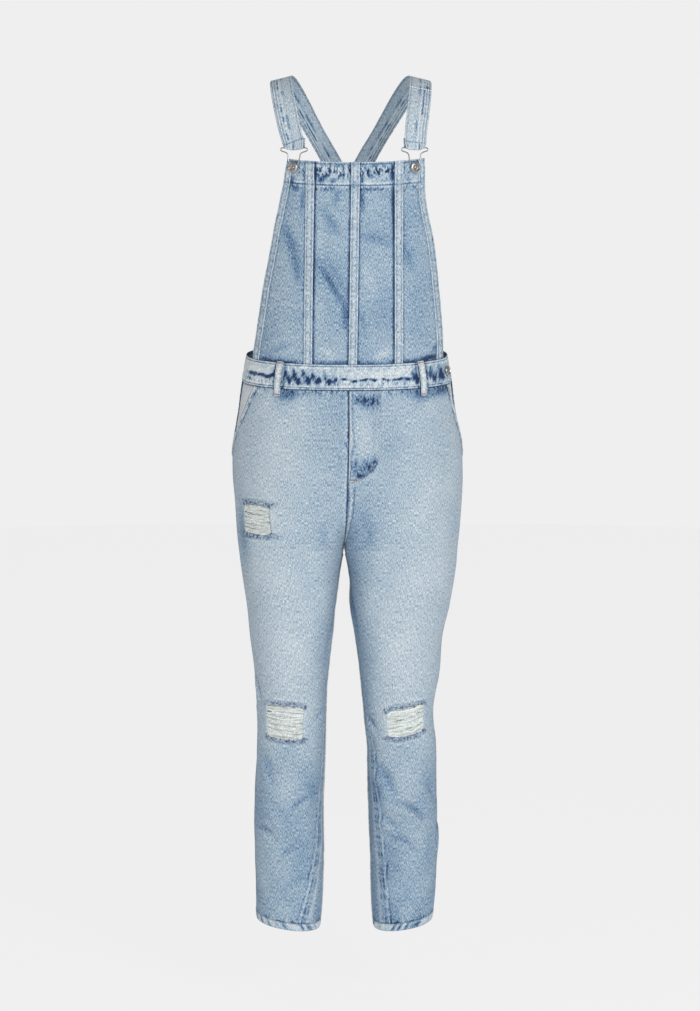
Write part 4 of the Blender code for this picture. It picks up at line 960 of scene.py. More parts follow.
def sew(name, runs, pitch=STITCH_PITCH, length=STITCH_LENGTH, thick=THREAD,
        thread=SEWING_THREAD):
    """One joined piece of stitches along runs, each the points and outward normals that
    the seam follows. Each stitch is a flattened bead, half sunk in the cloth."""
    bm = bmesh.new()
    bmesh.ops.create_uvsphere(bm, u_segments=6, v_segments=4, radius=0.5)
    bm.verts.index_update()
    bead = np.array([vert.co for vert in bm.verts])
    quads = [[vert.index for vert in face.verts] for face in bm.faces]
    bm.free()
    points, faces = [], []
    for line, normals in runs:
        far = run_lengths(line)
        count = max(1, round(far[-1] / pitch))
        for middle in (np.arange(count) + 0.5) / count * far[-1]:
            ends = [np.array([np.interp(middle + s, far, line[:, axis]) for axis in range(3)])
                    for s in (-pitch / 4, pitch / 4)]
            normal = unit(np.array([np.interp(middle, far, normals[:, axis])
                                    for axis in range(3)]))
            along = ends[1] - ends[0]
            along = unit(along - normal * np.dot(along, normal))
            turned = np.stack([np.cross(along, normal) * thick, normal * thick * 0.8,
                               along * length])
            start = len(points) * len(bead)
            points.append(bead @ turned + (ends[0] + ends[1]) / 2 + normal * thick * 0.2)
            faces += [[start + corner for corner in quad] for quad in quads]
    mesh = bpy.data.meshes.new(name)
    mesh.from_pydata(np.concatenate(points), [], faces)
    mesh.materials.append(thread)
    mesh.shade_smooth()
    put_on(name, mesh)


def strip_runs(strip, columns=STRIP_ROWS):
    """The stitch rows of a strip, along some of its grid columns."""
    return [(strip.points[:, column], strip.normals[:, column]) for column in columns]


for leg_side, side_name in SIDES:
    front = panels["front", leg_side]
    levels = even_levels(WAIST_SEAM - SEAM_GAP * 1.4, FACING_FOOT, 0.004)
    points = []
    for level in levels:
        margin = SEAM_GAP / lengths_round(leg_side, -1, level)[1][-1]
        stop = pocket_share(leg_side, level) + FACING_SHARE
        points.append(panel_row(leg_side, -1, np.linspace(margin, stop, 20), level)[0])
    facing = Cloth(points, front.outward)
    facing.raise_by(-FACING_DEPTH)
    # painted light: kept pale against the shade it lies in, sunk behind the mouth
    facing.dye = 0.15 + 0.10 * mottle(facing.across, facing.down, 0.02, 0.03, 5)
    cut_piece(f"pocket_facing_{side_name}_cloth", facing, DENIM,
              f"pocket_facing_{side_name}")

    def mouth(level):
        """The shares between which the turned edge of the mouth lies."""
        length = lengths_round(leg_side, -1, level)[1][-1]
        start = max(pocket_share(leg_side, level), SEAM_GAP / 2 / length)
        return start, start + POCKET_HEM / length

    levels = even_levels(WAIST_SEAM - SEAM_GAP * 2.4, POCKET_FOOT + 0.001, STRIP_PITCH)
    hem_strip = strip_on(front, levels, mouth, SEAM_GAP + STRIP, STRIP_COLUMNS)
    felled(hem_strip, 110 + leg_side)
    over = hem_strip.across / hem_strip.across[:, -1:]
    pricks = ramp_up(mottle(hem_strip.down, 0.0, 0.0042, 1.0, 115 + leg_side), -0.2, 0.3)
    hem_strip.dye = (hem_strip.dye - 0.26 + 0.85 * hump(over, 0.0, 0.14)
                     + (0.10 + 0.75 * pricks) * hump(over, 0.84, 0.15))
    cut_piece(f"pocket_hem_{side_name}_cloth", hem_strip, STRIP, f"pocket_hem_{side_name}")
    sew(f"pocket_stitches_{side_name}", strip_runs(hem_strip))

# -------------------- fly and felled seams
# The fly is a J-shaped placket behind the left front, sewn twice round its curve. The
# rises and the inseams are felled: both edges turned in and sewn down with two rows.

FLY_WIDTH, FLY_FOOT, FLY_CURVE, FLY_THICK = 0.050, -0.6200, 0.055, STRIP * 0.6
INSEAM_TOP, RISE_FOOT = -0.7520, -0.7245


def felled_edge(name, node, side, half, top, bottom, width, seed, outline):
    """A felled seam along the inner edge of a leg panel; outline is how much more dye
    stands along its free edge and its seam."""
    cloth = panels["front" if half < 0 else "back", side]

    def bounds(level):
        """The strip's two shares, its edge kept clear of the strip on the other leg."""
        normal = cloth.line_at(np.array([0.98]), level)[1][0]
        turned = (STRIP + SEAM_GAP) * abs(normal[0]) / max(abs(normal[1]), 0.3)
        return (share_from_inside(side, half, width, level),
                share_from_inside(side, half, SEAM_GAP * 1.5 + turned, level))

    levels = even_levels(top, bottom, STRIP_PITCH)
    strip = strip_on(cloth, levels, bounds, SEAM_GAP + STRIP, STRIP_COLUMNS)
    felled(strip, seed)
    share = strip.across / strip.across[:, -1:]
    strip.dye = strip.dye + outline * (hump(share, 0.0, 0.12) + hump(share, 1.0, 0.12))
    cut_piece(f"{name}_cloth", strip, STRIP, node)
    sew(f"{name}_stitches", strip_runs(strip))


for number, (leg_side, side_name) in enumerate(SIDES):
    felled_edge(f"inseam_{side_name}", f"inseam_{side_name}", leg_side, -1, INSEAM_TOP,
                HEM_SEAM + 0.0006, FELLED_SEAM * 0.9, 120 + number, 0.0)
felled_edge("front_rise", "rise_seam_front", 1, -1, FLY_FOOT - 0.010, RISE_FOOT, 0.0110, 122, 0.60)
felled_edge("back_rise", "rise_seam_back", 1, 1, WAIST_SEAM - 0.001, RISE_FOOT, FELLED_SEAM, 123, 0.0)


def fly_bounds(level):
    """The shares from the seam to the placket's free edge, which curves in at its foot."""
    length = lengths_round(1, -1, level)[1][-1]
    width = FLY_WIDTH
    drop = (FLY_FOOT + FLY_CURVE - level) / FLY_CURVE
    if drop > 0:
        width *= max(math.sqrt(max(1 - drop * drop, 0.0)), 0.16)
    return 1 - SEAM_GAP / length, 1 - width / length


# Where the fly is darker: x, level, half-width, half-height, depth of dye.
FLY_PATCHES = (
    (0.020, -0.486, 0.014, 0.009, 0.22), (0.040, -0.490, 0.013, 0.012, 0.24),
    (0.012, -0.590, 0.006, 0.010, 0.16), (0.030, -0.594, 0.010, 0.012, 0.22),
    (0.042, -0.590, 0.006, 0.012, 0.20), (0.018, -0.608, 0.009, 0.008, 0.22),
    (0.030, -0.545, 0.018, 0.030, -0.05), (0.040, -0.540, 0.002, 0.040, 0.06),
)
fly_share = np.linspace(0, 1, 27)
fly_cloth = strip_on(panels["front", 1], even_levels(WAIST_SEAM - 0.001, FLY_FOOT, 0.0022),
                     fly_bounds, SEAM_GAP * 2 + FLY_THICK, fly_share)
fly_cloth.outward = -fly_cloth.outward
fly_cloth.normals = -fly_cloth.normals
fly_cloth.raise_by(0.0004 * mottle(fly_cloth.across, fly_cloth.down, 0.009, 0.012, 7)
                   - 0.0009 * ramp_up(fly_share, 0.90, 1.0) - 0.0003 * hump(fly_share, 0.04, 0.03))
fly_xs, fly_levels = fly_cloth.points[..., 0], WAIST_SEAM - fly_cloth.down
fly_cloth.dye = (0.43 + 0.05 * fly_share + patches(fly_xs, fly_levels, FLY_PATCHES)
                 + 0.05 * mottle(fly_cloth.across, fly_cloth.down, 0.02, 0.03, 6)
                 - 0.22 * hump(fly_share, 0.0, 0.05) + 0.22 * hump(fly_share, 0.085, 0.035))
fly_cloth.drips = 0.34 * patches(fly_xs, fly_levels,
                                 [row[:4] + (1.0,) for row in FLY_PATCHES if row[4] > 0.1])
cut_piece("fly_placket", fly_cloth, FLY_THICK, "fly")
sew("fly_stitches", strip_runs(fly_cloth, (21, 24)), thread=TAN_THREAD)
sew("fly_edge_stitches", strip_runs(fly_cloth, (2,)))


def bar_tack(middle, along, normal, length, width=0.0022, pitch=0.0008):
    """The runs of a bar tack: short close stitches side by side along its length."""
    beside = np.cross(along, normal)
    runs = []
    for step in np.arange(-length / 2, length / 2 + 1e-6, pitch):
        spot = middle + along * step
        runs.append((np.array([spot - beside * width / 2, spot + beside * width / 2]),
                     np.array([normal, normal])))
    return runs


def flat_spot(cloth, row, column):
    """A point of a laid piece with the directions across it and outwards."""
    across = cloth.points[row, column + 1] - cloth.points[row, column]
    return cloth.points[row, column], unit(across), cloth.normals[row, column]


fly_end, fly_across, fly_out = flat_spot(fly_cloth, -3, 10)
sew("fly_bar_tack", bar_tack(fly_end, fly_across, fly_out, 0.012), pitch=0.0022, length=0.0026,
    thick=0.0010, thread=TAN_THREAD)

# -------------------- hems
# Each leg ends in a narrow hem of the same denim, turned up twice and sewn once. It ropes
# as it is washed, so that it is worn pale and dark along slanted ridges.

BAND = 0.0024                           # how thick the folded cloth is
HEM_EDGE = -1.3575

for leg_side, side_name in SIDES:
    turns = np.linspace(-1, 1, 221)
    levels = np.linspace(HEM_SEAM - SEAM_GAP * 1.2, HEM_EDGE, 9)
    points = [leg_form(leg_side, turns, level) for level in levels]
    ring = Cloth(points, -leg_side, closed=True)
    lean = mottle(ring.across + ring.down * 0.7, ring.down, 0.0052, 0.030, 130 + leg_side)
    lean[:, -1] = lean[:, 0]
    up = (levels[:, None] - HEM_EDGE) / (HEM_SEAM - HEM_EDGE)
    ring.raise_by(0.0004 + lean * 0.0007 * hump(up, 0.4, 0.5) - 0.0007 * hump(up, 0.0, 0.14)
                  - 0.0006 * hump(up, 0.86, 0.07))
    ring.dye = (0.40 + 0.52 * ramp_up(-lean, -0.1, 0.7) * hump(up, 0.45, 0.42)
                - 0.14 * ramp_up(lean, 0, 0.8) + 0.34 * hump(up, 1.0, 0.09)
                - 0.10 * hump(up, 0.72, 0.08) + 0.18 * hump(up, 0.0, 0.12))
    cut_piece(f"hem_{side_name}_cloth", ring, BAND, f"hem_{side_name}")
    sew(f"hem_stitches_{side_name}",
        [((ring.points[1] + ring.points[2]) / 2, ring.normals[1])])

# -------------------- bib
# Four panels of the same denim, joined by three felled seams. The two sides are turned
# under, and the top is turned down by 38 mm and sewn twice.

SQUARENESS = 2.25
BIB_COLUMNS = ("level", "edge_right", "seam_right", "seam_middle", "seam_left",
               "edge_left", "centre", "half_width", "front", "tilt_back")
BIB_ROWS = (
    (-0.1046, -0.0925, -0.0507, 0.0062, 0.0728, 0.1185, 0.0100, 0.150, 0.1150, 0.200),
    (-0.1720, -0.1045, -0.0516, 0.0053, 0.0729, 0.1220, 0.0085, 0.150, 0.1180, 0.170),
    (-0.2450, -0.1190, -0.0526, 0.0043, 0.0730, 0.1350, 0.0060, 0.152, 0.1180, 0.140),
    (-0.3185, -0.1320, -0.0535, 0.0033, 0.0731, 0.1430, 0.0030, 0.155, 0.1145, 0.110),
    (-0.3920, -0.1430, -0.0544, 0.0023, 0.0732, 0.1495, 0.0010, 0.158, 0.1095, 0.095),
    (-0.4307, -0.1485, -0.0548, 0.0017, 0.0733, 0.1500, -0.0005, 0.159, 0.1060, 0.085),
)
BIB = Table(BIB_COLUMNS, BIB_ROWS)
BIB_EDGE, BIB_SEAM = 0.0100, 0.0130


def bib_row(xs, level):
    """Points of the chest at one level."""
    row = BIB.at(level)
    share = np.minimum(np.abs(xs - row.centre) / row.half_width, 0.995)
    back = -row.front * (1 - share ** SQUARENESS) ** (1 / SQUARENESS)
    return np.stack([xs, back, level + row.tilt_back * back], axis=-1)


# The folds of the bib: x, level, half-length, half-width, angle, height.
BIB_FOLDS = (
    (-0.089, -0.237, 0.042, 0.0080, -73, -0.0015), (-0.104, -0.225, 0.042, 0.0090, -76, 0.0012),
    (-0.027, -0.200, 0.030, 0.0075, -58, -0.0015), (-0.016, -0.190, 0.030, 0.0080, -58, 0.0010),
    (-0.024, -0.304, 0.042, 0.0060, -60, -0.0020), (-0.036, -0.312, 0.040, 0.0080, -60, 0.0014),
    (-0.004, -0.356, 0.022, 0.0050, -84, -0.0012), (0.046, -0.229, 0.024, 0.0090, -15, -0.0013),
    (0.040, -0.212, 0.024, 0.0080, -15, 0.0010), (0.022, -0.358, 0.026, 0.0070, -80, -0.0012),
    (0.094, -0.258, 0.026, 0.0075, -70, -0.0012), (0.107, -0.250, 0.030, 0.0080, -72, 0.0010),
    (0.115, -0.395, 0.030, 0.0080, -28, 0.0014), (-0.110, -0.392, 0.045, 0.0080, 35, 0.0012),
    (-0.092, -0.160, 0.020, 0.0060, -70, -0.0010), (0.050, -0.408, 0.024, 0.0060, 40, 0.0012),
)
# Where it is darker or paler: x, level, half-length, half-width, angle, depth of dye.
BIB_MARKS = (
    (-0.041, -0.134, 0.006, 0.0042, 80, 0.50), (-0.035, -0.128, 0.008, 0.0025, 70, 0.30),
    (-0.022, -0.135, 0.006, 0.0034, 60, 0.40), (-0.006, -0.123, 0.007, 0.0026, 86, 0.34),
    (-0.013, -0.130, 0.005, 0.0020, 50, 0.26), (-0.050, -0.128, 0.013, 0.0022, 88, 0.40),
    (0.023, -0.130, 0.009, 0.0026, 86, 0.50), (0.033, -0.122, 0.006, 0.0022, 70, 0.30),
    (0.047, -0.123, 0.006, 0.0024, -75, 0.28), (0.068, -0.126, 0.011, 0.0030, -88, 0.50),
    (0.058, -0.134, 0.006, 0.0022, 10, 0.20), (-0.086, -0.139, 0.008, 0.0034, 70, 0.40),
    (-0.078, -0.148, 0.008, 0.0028, 80, 0.28), (0.094, -0.138, 0.009, 0.0034, -80, 0.34),
    (0.084, -0.146, 0.006, 0.0024, -70, 0.24), (-0.067, -0.126, 0.012, 0.0026, 88, 0.32),
    (-0.070, -0.170, 0.020, 0.0030, 86, 0.20), (-0.017, -0.162, 0.015, 0.0050, 80, 0.14),
    (-0.089, -0.237, 0.040, 0.0080, -73, 0.17), (-0.080, -0.280, 0.022, 0.0060, -80, 0.15),
    (-0.027, -0.199, 0.027, 0.0075, -58, 0.17), (-0.024, -0.304, 0.040, 0.0052, -60, 0.26),
    (-0.012, -0.296, 0.034, 0.0070, -64, 0.12), (-0.004, -0.355, 0.020, 0.0046, -85, 0.22),
    (0.046, -0.229, 0.022, 0.0090, -15, 0.14), (0.022, -0.358, 0.024, 0.0060, -80, 0.14),
    (0.023, -0.166, 0.020, 0.0036, -88, 0.32), (0.070, -0.172, 0.027, 0.0030, -89, 0.34),
    (0.094, -0.258, 0.024, 0.0075, -70, 0.14), (0.130, -0.425, 0.014, 0.0034, 6, 0.55),
    (0.137, -0.412, 0.006, 0.0040, 60, 0.30), (-0.045, -0.340, 0.030, 0.0100, -85, -0.08),
    (-0.042, -0.235, 0.024, 0.0070, -88, -0.08), (0.034, -0.290, 0.032, 0.0100, -70, -0.08),
    (0.056, -0.414, 0.018, 0.0060, 30, -0.16), (-0.100, -0.195, 0.022, 0.0100, -60, -0.06),
    (0.086, -0.330, 0.040, 0.0090, -84, -0.05), (-0.120, -0.340, 0.030, 0.0100, 60, -0.05),
    (-0.030, -0.412, 0.016, 0.0050, -30, -0.14), (-0.105, -0.408, 0.020, 0.0050, 25, 0.12),
)
BIB_TOP, BIB_FOOT = BIB_ROWS[0][0], BIB_ROWS[-1][0]
BIB_TOP_ROW, BIB_HEM_ROW = -0.1080, -0.1420     # the two rows of stitches across it
BIB_FINE = -0.1560                      # above this level its grid is finer


def strokes(across, down, rows):
    """The sum of soft slanted marks: (across, down, half-length, half-width, angle, depth)."""
    total = np.zeros(np.broadcast_shapes(np.shape(across), np.shape(down)))
    for x, y, length, width, angle, depth in rows:
        turn = math.radians(angle)
        along = (across - x) * math.cos(turn) + (down - y) * math.sin(turn)
        beside = (down - y) * math.cos(turn) - (across - x) * math.sin(turn)
        total = total + depth * hump(along, 0, length) * hump(beside, 0, width)
    return total


def bib_gathers(xs, levels):
    """The small puckers at the bib's top hem and foot."""
    return mottle(xs, levels, 0.0072, 0.024, 143)


def bib_heights(xs, levels):
    """The soft folds and puckers of the bib, which run on over its seams."""
    at_rows = hump(levels, BIB_TOP_ROW, 0.0008) + hump(levels, BIB_HEM_ROW, 0.0009)
    in_hem = ramp_up(levels, BIB_HEM_ROW - 0.016, BIB_HEM_ROW - 0.004)
    foot = np.exp(-(levels - BIB_FOOT) / 0.010)
    return (mottle(xs, levels, 0.050, 0.085, 140) * 0.0009 + strokes(xs, levels, BIB_FOLDS)
            + 0.0004 * ramp_up(levels, BIB_HEM_ROW - 0.001, BIB_HEM_ROW)
            + bib_gathers(xs, levels) * 0.0008 * (in_hem + foot) - 0.0005 * at_rows)


def bib_dye(xs, levels):
    """How deep the dye stands on the bib's panels, with painted shade along its foot where it meets
    the waistband.
    """
    gathers = bib_gathers(xs, levels)
    in_hem = ramp_up(levels, BIB_HEM_ROW, BIB_HEM_ROW + 0.002)
    foot = levels - BIB_FOOT
    uneven = 0.5 + 0.5 * mottle(xs, levels, 0.012, 1.0, 146)
    return (0.530 - 0.09 * in_hem + 0.05 * mottle(xs, levels, 0.05, 0.07, 141)
            + strokes(xs, levels, BIB_MARKS) - 0.12 * gathers * in_hem
            + 0.34 * hump(levels, BIB_TOP_ROW, 0.0013) + 0.40 * hump(levels, BIB_HEM_ROW, 0.0010)
            - 0.14 * hump(levels, BIB_TOP_ROW + 0.0026, 0.0010)
            - 0.16 * hump(levels, BIB_HEM_ROW + 0.0030, 0.0014)
            - 0.22 * hump(levels, BIB_HEM_ROW - 0.0024, 0.0014)
            - 0.10 * gathers * np.exp(-foot / 0.008)
            # painted shade along the bib's foot, uneven along it
            + (0.10 + 0.42 * uneven) * hump(foot, 0, 0.0050))


bib_levels = np.concatenate([[BIB_TOP], np.linspace(BIB_TOP - 0.0008, BIB_FINE, 48)[:-1],
                             np.linspace(BIB_FINE, BIB_FOOT, 136)])


def graded(start, stop, first, last):
    """Column places with fine steps along the two strips at its sides."""
    left = start + first * np.array((0, 0.12, 0.3, 0.5, 0.7, 0.88))
    right = stop - last * np.array((0.88, 0.7, 0.5, 0.3, 0.12, 0))
    near, far = start + first, stop - last
    middle = np.concatenate([[near, near + 0.0007, near + 0.0014, near + 0.0024],
                             np.linspace(near + 0.0040, far - 0.0040, 23),
                             [far - 0.0024, far - 0.0014, far - 0.0007, far]])
    return np.concatenate([left, middle, right])


def lay_bib(lines, lift):
    """Cloth over the bib; lines gives the columns' x at a level."""
    xs = np.array([lines(level) for level in bib_levels])
    points = np.array([bib_row(row, level) for row, level in zip(xs, bib_levels)])
    cloth = Cloth(points, -1, across=xs, down=-bib_levels[:, None])
    cloth.raise_by(bib_heights(xs, np.broadcast_to(bib_levels[:, None], xs.shape)))
    cloth.raise_by(lift)
    return cloth, xs


# Panels: node, its two lines, the strips' widths along them, and how deep the dye stands
# in the groove beside each strip.
for name, first, last, at_start, at_end, groove_a, groove_b in (
        ("bib_outer_right", "edge_right", "seam_right", BIB_EDGE, BIB_SEAM, 0.16, 0.34),
        ("bib_inner_right", "seam_right", "seam_middle", 0.0, 0.0, 0.52, 0.48),
        ("bib_inner_left", "seam_middle", "seam_left", BIB_SEAM, 0.0, 0.52, 0.55),
        ("bib_outer_left", "seam_left", "edge_left", BIB_SEAM, BIB_EDGE, 0.36, 0.14)):
    def lines(level):
        """The x of each grid column of this panel at a level."""
        row = BIB.at(level)
        return graded(getattr(row, first) + SEAM_GAP / 2, getattr(row, last) - SEAM_GAP / 2,
                      max(at_start, 0.001), max(at_end, 0.001))

    cloth, xs = lay_bib(lines, 0.0)
    levels = bib_levels[:, None]
    from_first = xs - xs[:, :1] - max(at_start - 0.0010, 0.0)
    from_last = xs[:, -1:] - xs - max(at_end - 0.0010, 0.0)
    worn = 0.72 + 0.28 * mottle(levels, 0.0, 0.016, 1.0, len(name) + 144)
    grooves = (groove_a * hump(np.maximum(from_first - 0.0008, 0), 0, 0.0022)
               + groove_b * hump(np.maximum(from_last - 0.0008, 0), 0, 0.0022))
    cloth.raise_by(-0.0016 * grooves)
    cloth.dye = bib_dye(xs, levels) + grooves * worn
    in_hem = ramp_up(levels, BIB_HEM_ROW, BIB_HEM_ROW + 0.003)
    inner = 1.0 if "inner" in name else 0.35
    cloth.drips = (inner * 0.62 * hump(levels, -0.1200, 0.0100) * in_hem
                   + 0.30 * hump(levels, BIB_HEM_ROW - 0.0062, 0.0042) * (1 - in_hem)
                   + 0.18 * np.exp(-(levels - BIB_FOOT) / 0.005))
    cut_piece(f"{name}_cloth", cloth, DENIM, name)

for name, line, start, stop in (
        ("bib_seam_right", "seam_right", -BIB_SEAM - SEAM_GAP / 2, -SEAM_GAP / 2),
        ("bib_seam_middle", "seam_middle", SEAM_GAP / 2, BIB_SEAM + SEAM_GAP / 2),
        ("bib_seam_left", "seam_left", SEAM_GAP / 2, BIB_SEAM + SEAM_GAP / 2),
        ("bib_edge_right", "edge_right", SEAM_GAP / 2, BIB_EDGE + SEAM_GAP / 2),
        ("bib_edge_left", "edge_left", -BIB_EDGE - SEAM_GAP / 2, -SEAM_GAP / 2)):
    def lines(level):
        """The x of each grid column of this strip at a level."""
        return getattr(BIB.at(level), line) + start + (stop - start) * STRIP_COLUMNS

    strip, xs = lay_bib(lines, SEAM_GAP + STRIP)
    strip.across = strip.across - strip.across[:, :1]
    felled(strip, 150 + len(name) + len(line), ladder=0.10)
    levels = bib_levels[:, None]
    worn = mottle(levels, xs, 0.008, 0.01, 149) * ramp_up(levels, BIB_HEM_ROW - 0.008, BIB_HEM_ROW)
    strip.dye = (strip.dye + 0.30 * hump(levels, BIB_TOP_ROW, 0.0013)
                 + 0.36 * hump(levels, BIB_HEM_ROW, 0.0011) + 0.10 * worn
                 + (0.03 if "edge" in name else -0.02))
    cut_piece(f"{name}_cloth", strip, STRIP, name)
    sew(f"{name}_stitches", strip_runs(strip))


def bib_line(level):
    """Points and normals right across the bib at one level, over its strips."""
    row = BIB.at(level)
    xs = np.arange(row.edge_right + 0.001, row.edge_left - 0.001, 0.0008)
    near = np.array((level + 0.001, level, level - 0.001))
    line = Cloth([bib_row(xs, each) for each in near], -1)
    line.raise_by(bib_heights(xs[None, :], near[:, None]))
    over = (xs < row.edge_right + BIB_EDGE) | (xs > row.edge_left - BIB_EDGE)
    for middle in (row.seam_right - BIB_SEAM / 2, row.seam_middle + BIB_SEAM / 2,
                   row.seam_left + BIB_SEAM / 2):
        over |= np.abs(xs - middle) < BIB_SEAM / 2
    line.raise_by((SEAM_GAP + STRIP) * over[None, :])
    return line.points[1], line.normals[1]


sew("bib_hem_stitches", [bib_line(BIB_TOP_ROW), bib_line(BIB_HEM_ROW)])

# -------------------- back bib
# One panel of the same denim, turned under along its two sides and sewn once. Its foot is
# caught in the waistband and its top in the two straps.

BACK_COLUMNS = ("level", "half_width", "body", "back", "tilt_back")
BACK_ROWS = (
    (-0.1560, 0.0360, 0.150, 0.1080, 0.085),
    (-0.2000, 0.0410, 0.150, 0.1060, 0.085),
    (-0.2700, 0.0570, 0.152, 0.1010, 0.085),
    (-0.3400, 0.0830, 0.155, 0.0950, 0.085),
    (-0.4000, 0.1120, 0.158, 0.0920, 0.085),
    (-0.4307, 0.1270, 0.159, 0.0920, 0.085),
)
BACK = Table(BACK_COLUMNS, BACK_ROWS)


def back_row(xs, level):
    """Points of the back at one level."""
    row = BACK.at(level)
    share = np.minimum(np.abs(xs) / row.body, 0.995)
    back = row.back * (1 - share ** SQUARENESS) ** (1 / SQUARENESS)
    return np.stack([xs, back, level + row.tilt_back * back], axis=-1)


back_levels = np.linspace(BACK_ROWS[0][0], BACK_ROWS[-1][0], 110)
shares = np.concatenate([[-1, -0.975, -0.94], np.linspace(-0.90, 0.90, 60), [0.94, 0.975, 1]])
xs = np.array([BACK.at(level).half_width * shares for level in back_levels])
back_cloth = Cloth([back_row(row, level) for row, level in zip(xs, back_levels)], 1,
                   across=xs, down=-back_levels[:, None])
from_side = 1 - np.abs(shares)[None, :]
back_cloth.raise_by(mottle(xs, back_cloth.down, 0.05, 0.07, 160) * 0.0010)
back_cloth.raise_by(-0.0004 * hump(from_side, 0.07, 0.02))
back_cloth.dye = (0.48 + 0.06 * mottle(xs, back_cloth.down, 0.04, 0.06, 161)
                  - 0.14 * (1 - ramp_up(from_side, 0.05, 0.09))
                  + 0.30 * hump(from_side, 0.095, 0.03))
cut_piece("back_bib_cloth", back_cloth, DENIM + 0.0004, "back_bib")
sew("back_bib_stitches", strip_runs(back_cloth, (2, -3)))

# -------------------- waistband
# A straight band of folded denim in two lengths, sewn near both edges. The front laps
# over the back on the wearer's left, where a button holds it.

WAIST_TOP = -0.4310
TAB_END, TAB_LAP, TAB_RAMP = -15.0, -25.0, -31.0        # degrees round from the side
BAND_LIFT = 0.0005
LAP_LIFT = BAND_LIFT + BAND + SEAM_GAP
BAND_SHARES = np.concatenate([[0, 0.02, 0.045, 0.065, 0.085, 0.105, 0.135],
                              np.linspace(0.18, 0.82, 19),
                              [0.865, 0.895, 0.915, 0.935, 0.955, 0.98, 1]])
BAND_ROWS = (4, len(BAND_SHARES) - 5)   # the rows that are sewn
FRONT_LOOP_TURNS = {-1: -0.575, 1: -0.525}


def lay_band(stretches, outward):
    """A band round the waist. stretches: (side, first and last degrees, steps)."""
    levels = WAIST_TOP + (WAIST_SEAM - WAIST_TOP) * BAND_SHARES
    points, degrees, sides = [], [], []
    for side, first, last, steps in stretches:
        degrees += list(np.linspace(first, last, steps, endpoint=False))
        sides += [side] * steps
    degrees.append(stretches[-1][2])
    sides.append(stretches[-1][0])
    degrees, sides = np.array(degrees), np.array(sides)
    for level in levels:
        row = np.empty((len(degrees), 3))
        for side in (-1, 1):
            row[sides == side] = leg_form(side, degrees[sides == side] / 90.0, level)
        points.append(row)
    return Cloth(points, outward), degrees, sides


seam_angle = math.degrees(SEAM_GAP / 2 / 0.12)
front_band, degrees, sides = lay_band(((-1, -seam_angle, -90, 118), (1, -90, TAB_END, 98)), -1)
lap = ramp_up(degrees, TAB_RAMP - 1, TAB_LAP + 1) * (sides > 0)
front_band.raise_by(BAND_LIFT + (LAP_LIFT - BAND_LIFT) * lap[None, :])
back_band, degrees, sides = lay_band(((-1, seam_angle, 90, 118), (1, 90, TAB_LAP + 1.5, 150)), 1)
back_band.raise_by(BAND_LIFT)

# Where the front band is darker: x, share down it, half-length, half-height, depth of dye.
BAND_MARKS = (
    (-0.148, 0.52, 0.009, 0.075, 0.95), (-0.126, 0.54, 0.013, 0.075, 1.00),
    (-0.112, 0.42, 0.0037, 0.230, 0.51), (-0.096, 0.40, 0.0037, 0.184, 0.58),
    (-0.091, 0.66, 0.0037, 0.161, 0.64), (-0.083, 0.45, 0.0037, 0.207, 0.72),
    (-0.076, 0.68, 0.0037, 0.149, 0.72), (-0.069, 0.38, 0.0037, 0.172, 0.61),
    (-0.062, 0.62, 0.0050, 0.184, 0.74), (-0.053, 0.44, 0.0037, 0.172, 0.61),
    (-0.046, 0.68, 0.0050, 0.149, 0.72), (-0.037, 0.48, 0.0037, 0.161, 0.58),
    (-0.029, 0.68, 0.0050, 0.127, 0.67), (-0.020, 0.56, 0.0037, 0.161, 0.52),
    (-0.006, 0.62, 0.007, 0.057, 0.64), (0.010, 0.66, 0.008, 0.052, 0.72),
    (0.026, 0.60, 0.007, 0.057, 0.67), (0.042, 0.58, 0.009, 0.052, 0.72),
    (0.060, 0.62, 0.008, 0.052, 0.70), (0.078, 0.56, 0.008, 0.057, 0.67),
    (0.094, 0.60, 0.007, 0.069, 0.64), (0.104, 0.44, 0.0037, 0.253, 0.64),
    (0.110, 0.66, 0.0037, 0.184, 0.64), (0.122, 0.50, 0.0037, 0.299, 0.64),
    (0.130, 0.40, 0.0037, 0.276, 0.58), (0.137, 0.66, 0.0037, 0.230, 0.67),
    (0.144, 0.44, 0.0037, 0.299, 0.58), (0.150, 0.70, 0.0037, 0.207, 0.58),
    (-0.154, 0.72, 0.0050, 0.092, 0.38), (0.000, 0.30, 0.030, 0.090, -0.06),
    (0.060, 0.30, 0.040, 0.110, -0.06),
)


def band_marks(band, share, seed):
    """The dye left on the front band, in streaks along the ridges of its puckers."""
    xs = band.points[..., 0]
    bent = share + 0.06 * mottle(band.across, 0.0, 0.011, 1.0, seed + 2)
    shaken = xs + 0.0020 * mottle(band.down, band.across, 0.008, 0.02, seed + 5)
    drawn = patches(shaken, bent, BAND_MARKS)
    streaks = 1 + 0.5 * mottle(band.across + 0.3 * band.down, band.down, 0.0026, 0.012, seed + 6)
    return (0.86 * ramp_up(drawn * streaks, 0.08, 0.72) + np.minimum(drawn, 0)
            + 0.14 * hump(xs, -0.058, 0.040) * hump(share, 0.55, 0.28)
            + 0.12 * hump(xs, 0.136, 0.018) * hump(share, 0.5, 0.34))


def back_marks(band, share, pucker, seed):
    """The dye left on the back band, along its middle and where it puckers."""
    bent = share + 0.07 * mottle(band.across, 0.0, 0.013, 1.0, seed + 2)
    along = ramp_up(mottle(band.across, 0.0, 0.030, 1.0, seed + 3), -0.4, 0.2)
    bunched = ramp_up(mottle(band.across, 0.0, 0.050, 1.0, seed + 4), 0.0, 0.4)
    return 0.60 * (hump(bent, 0.58, 0.055) * along
                   + ramp_up(pucker, 0.2, 0.6) * hump(share, 0.55, 0.24) * bunched)


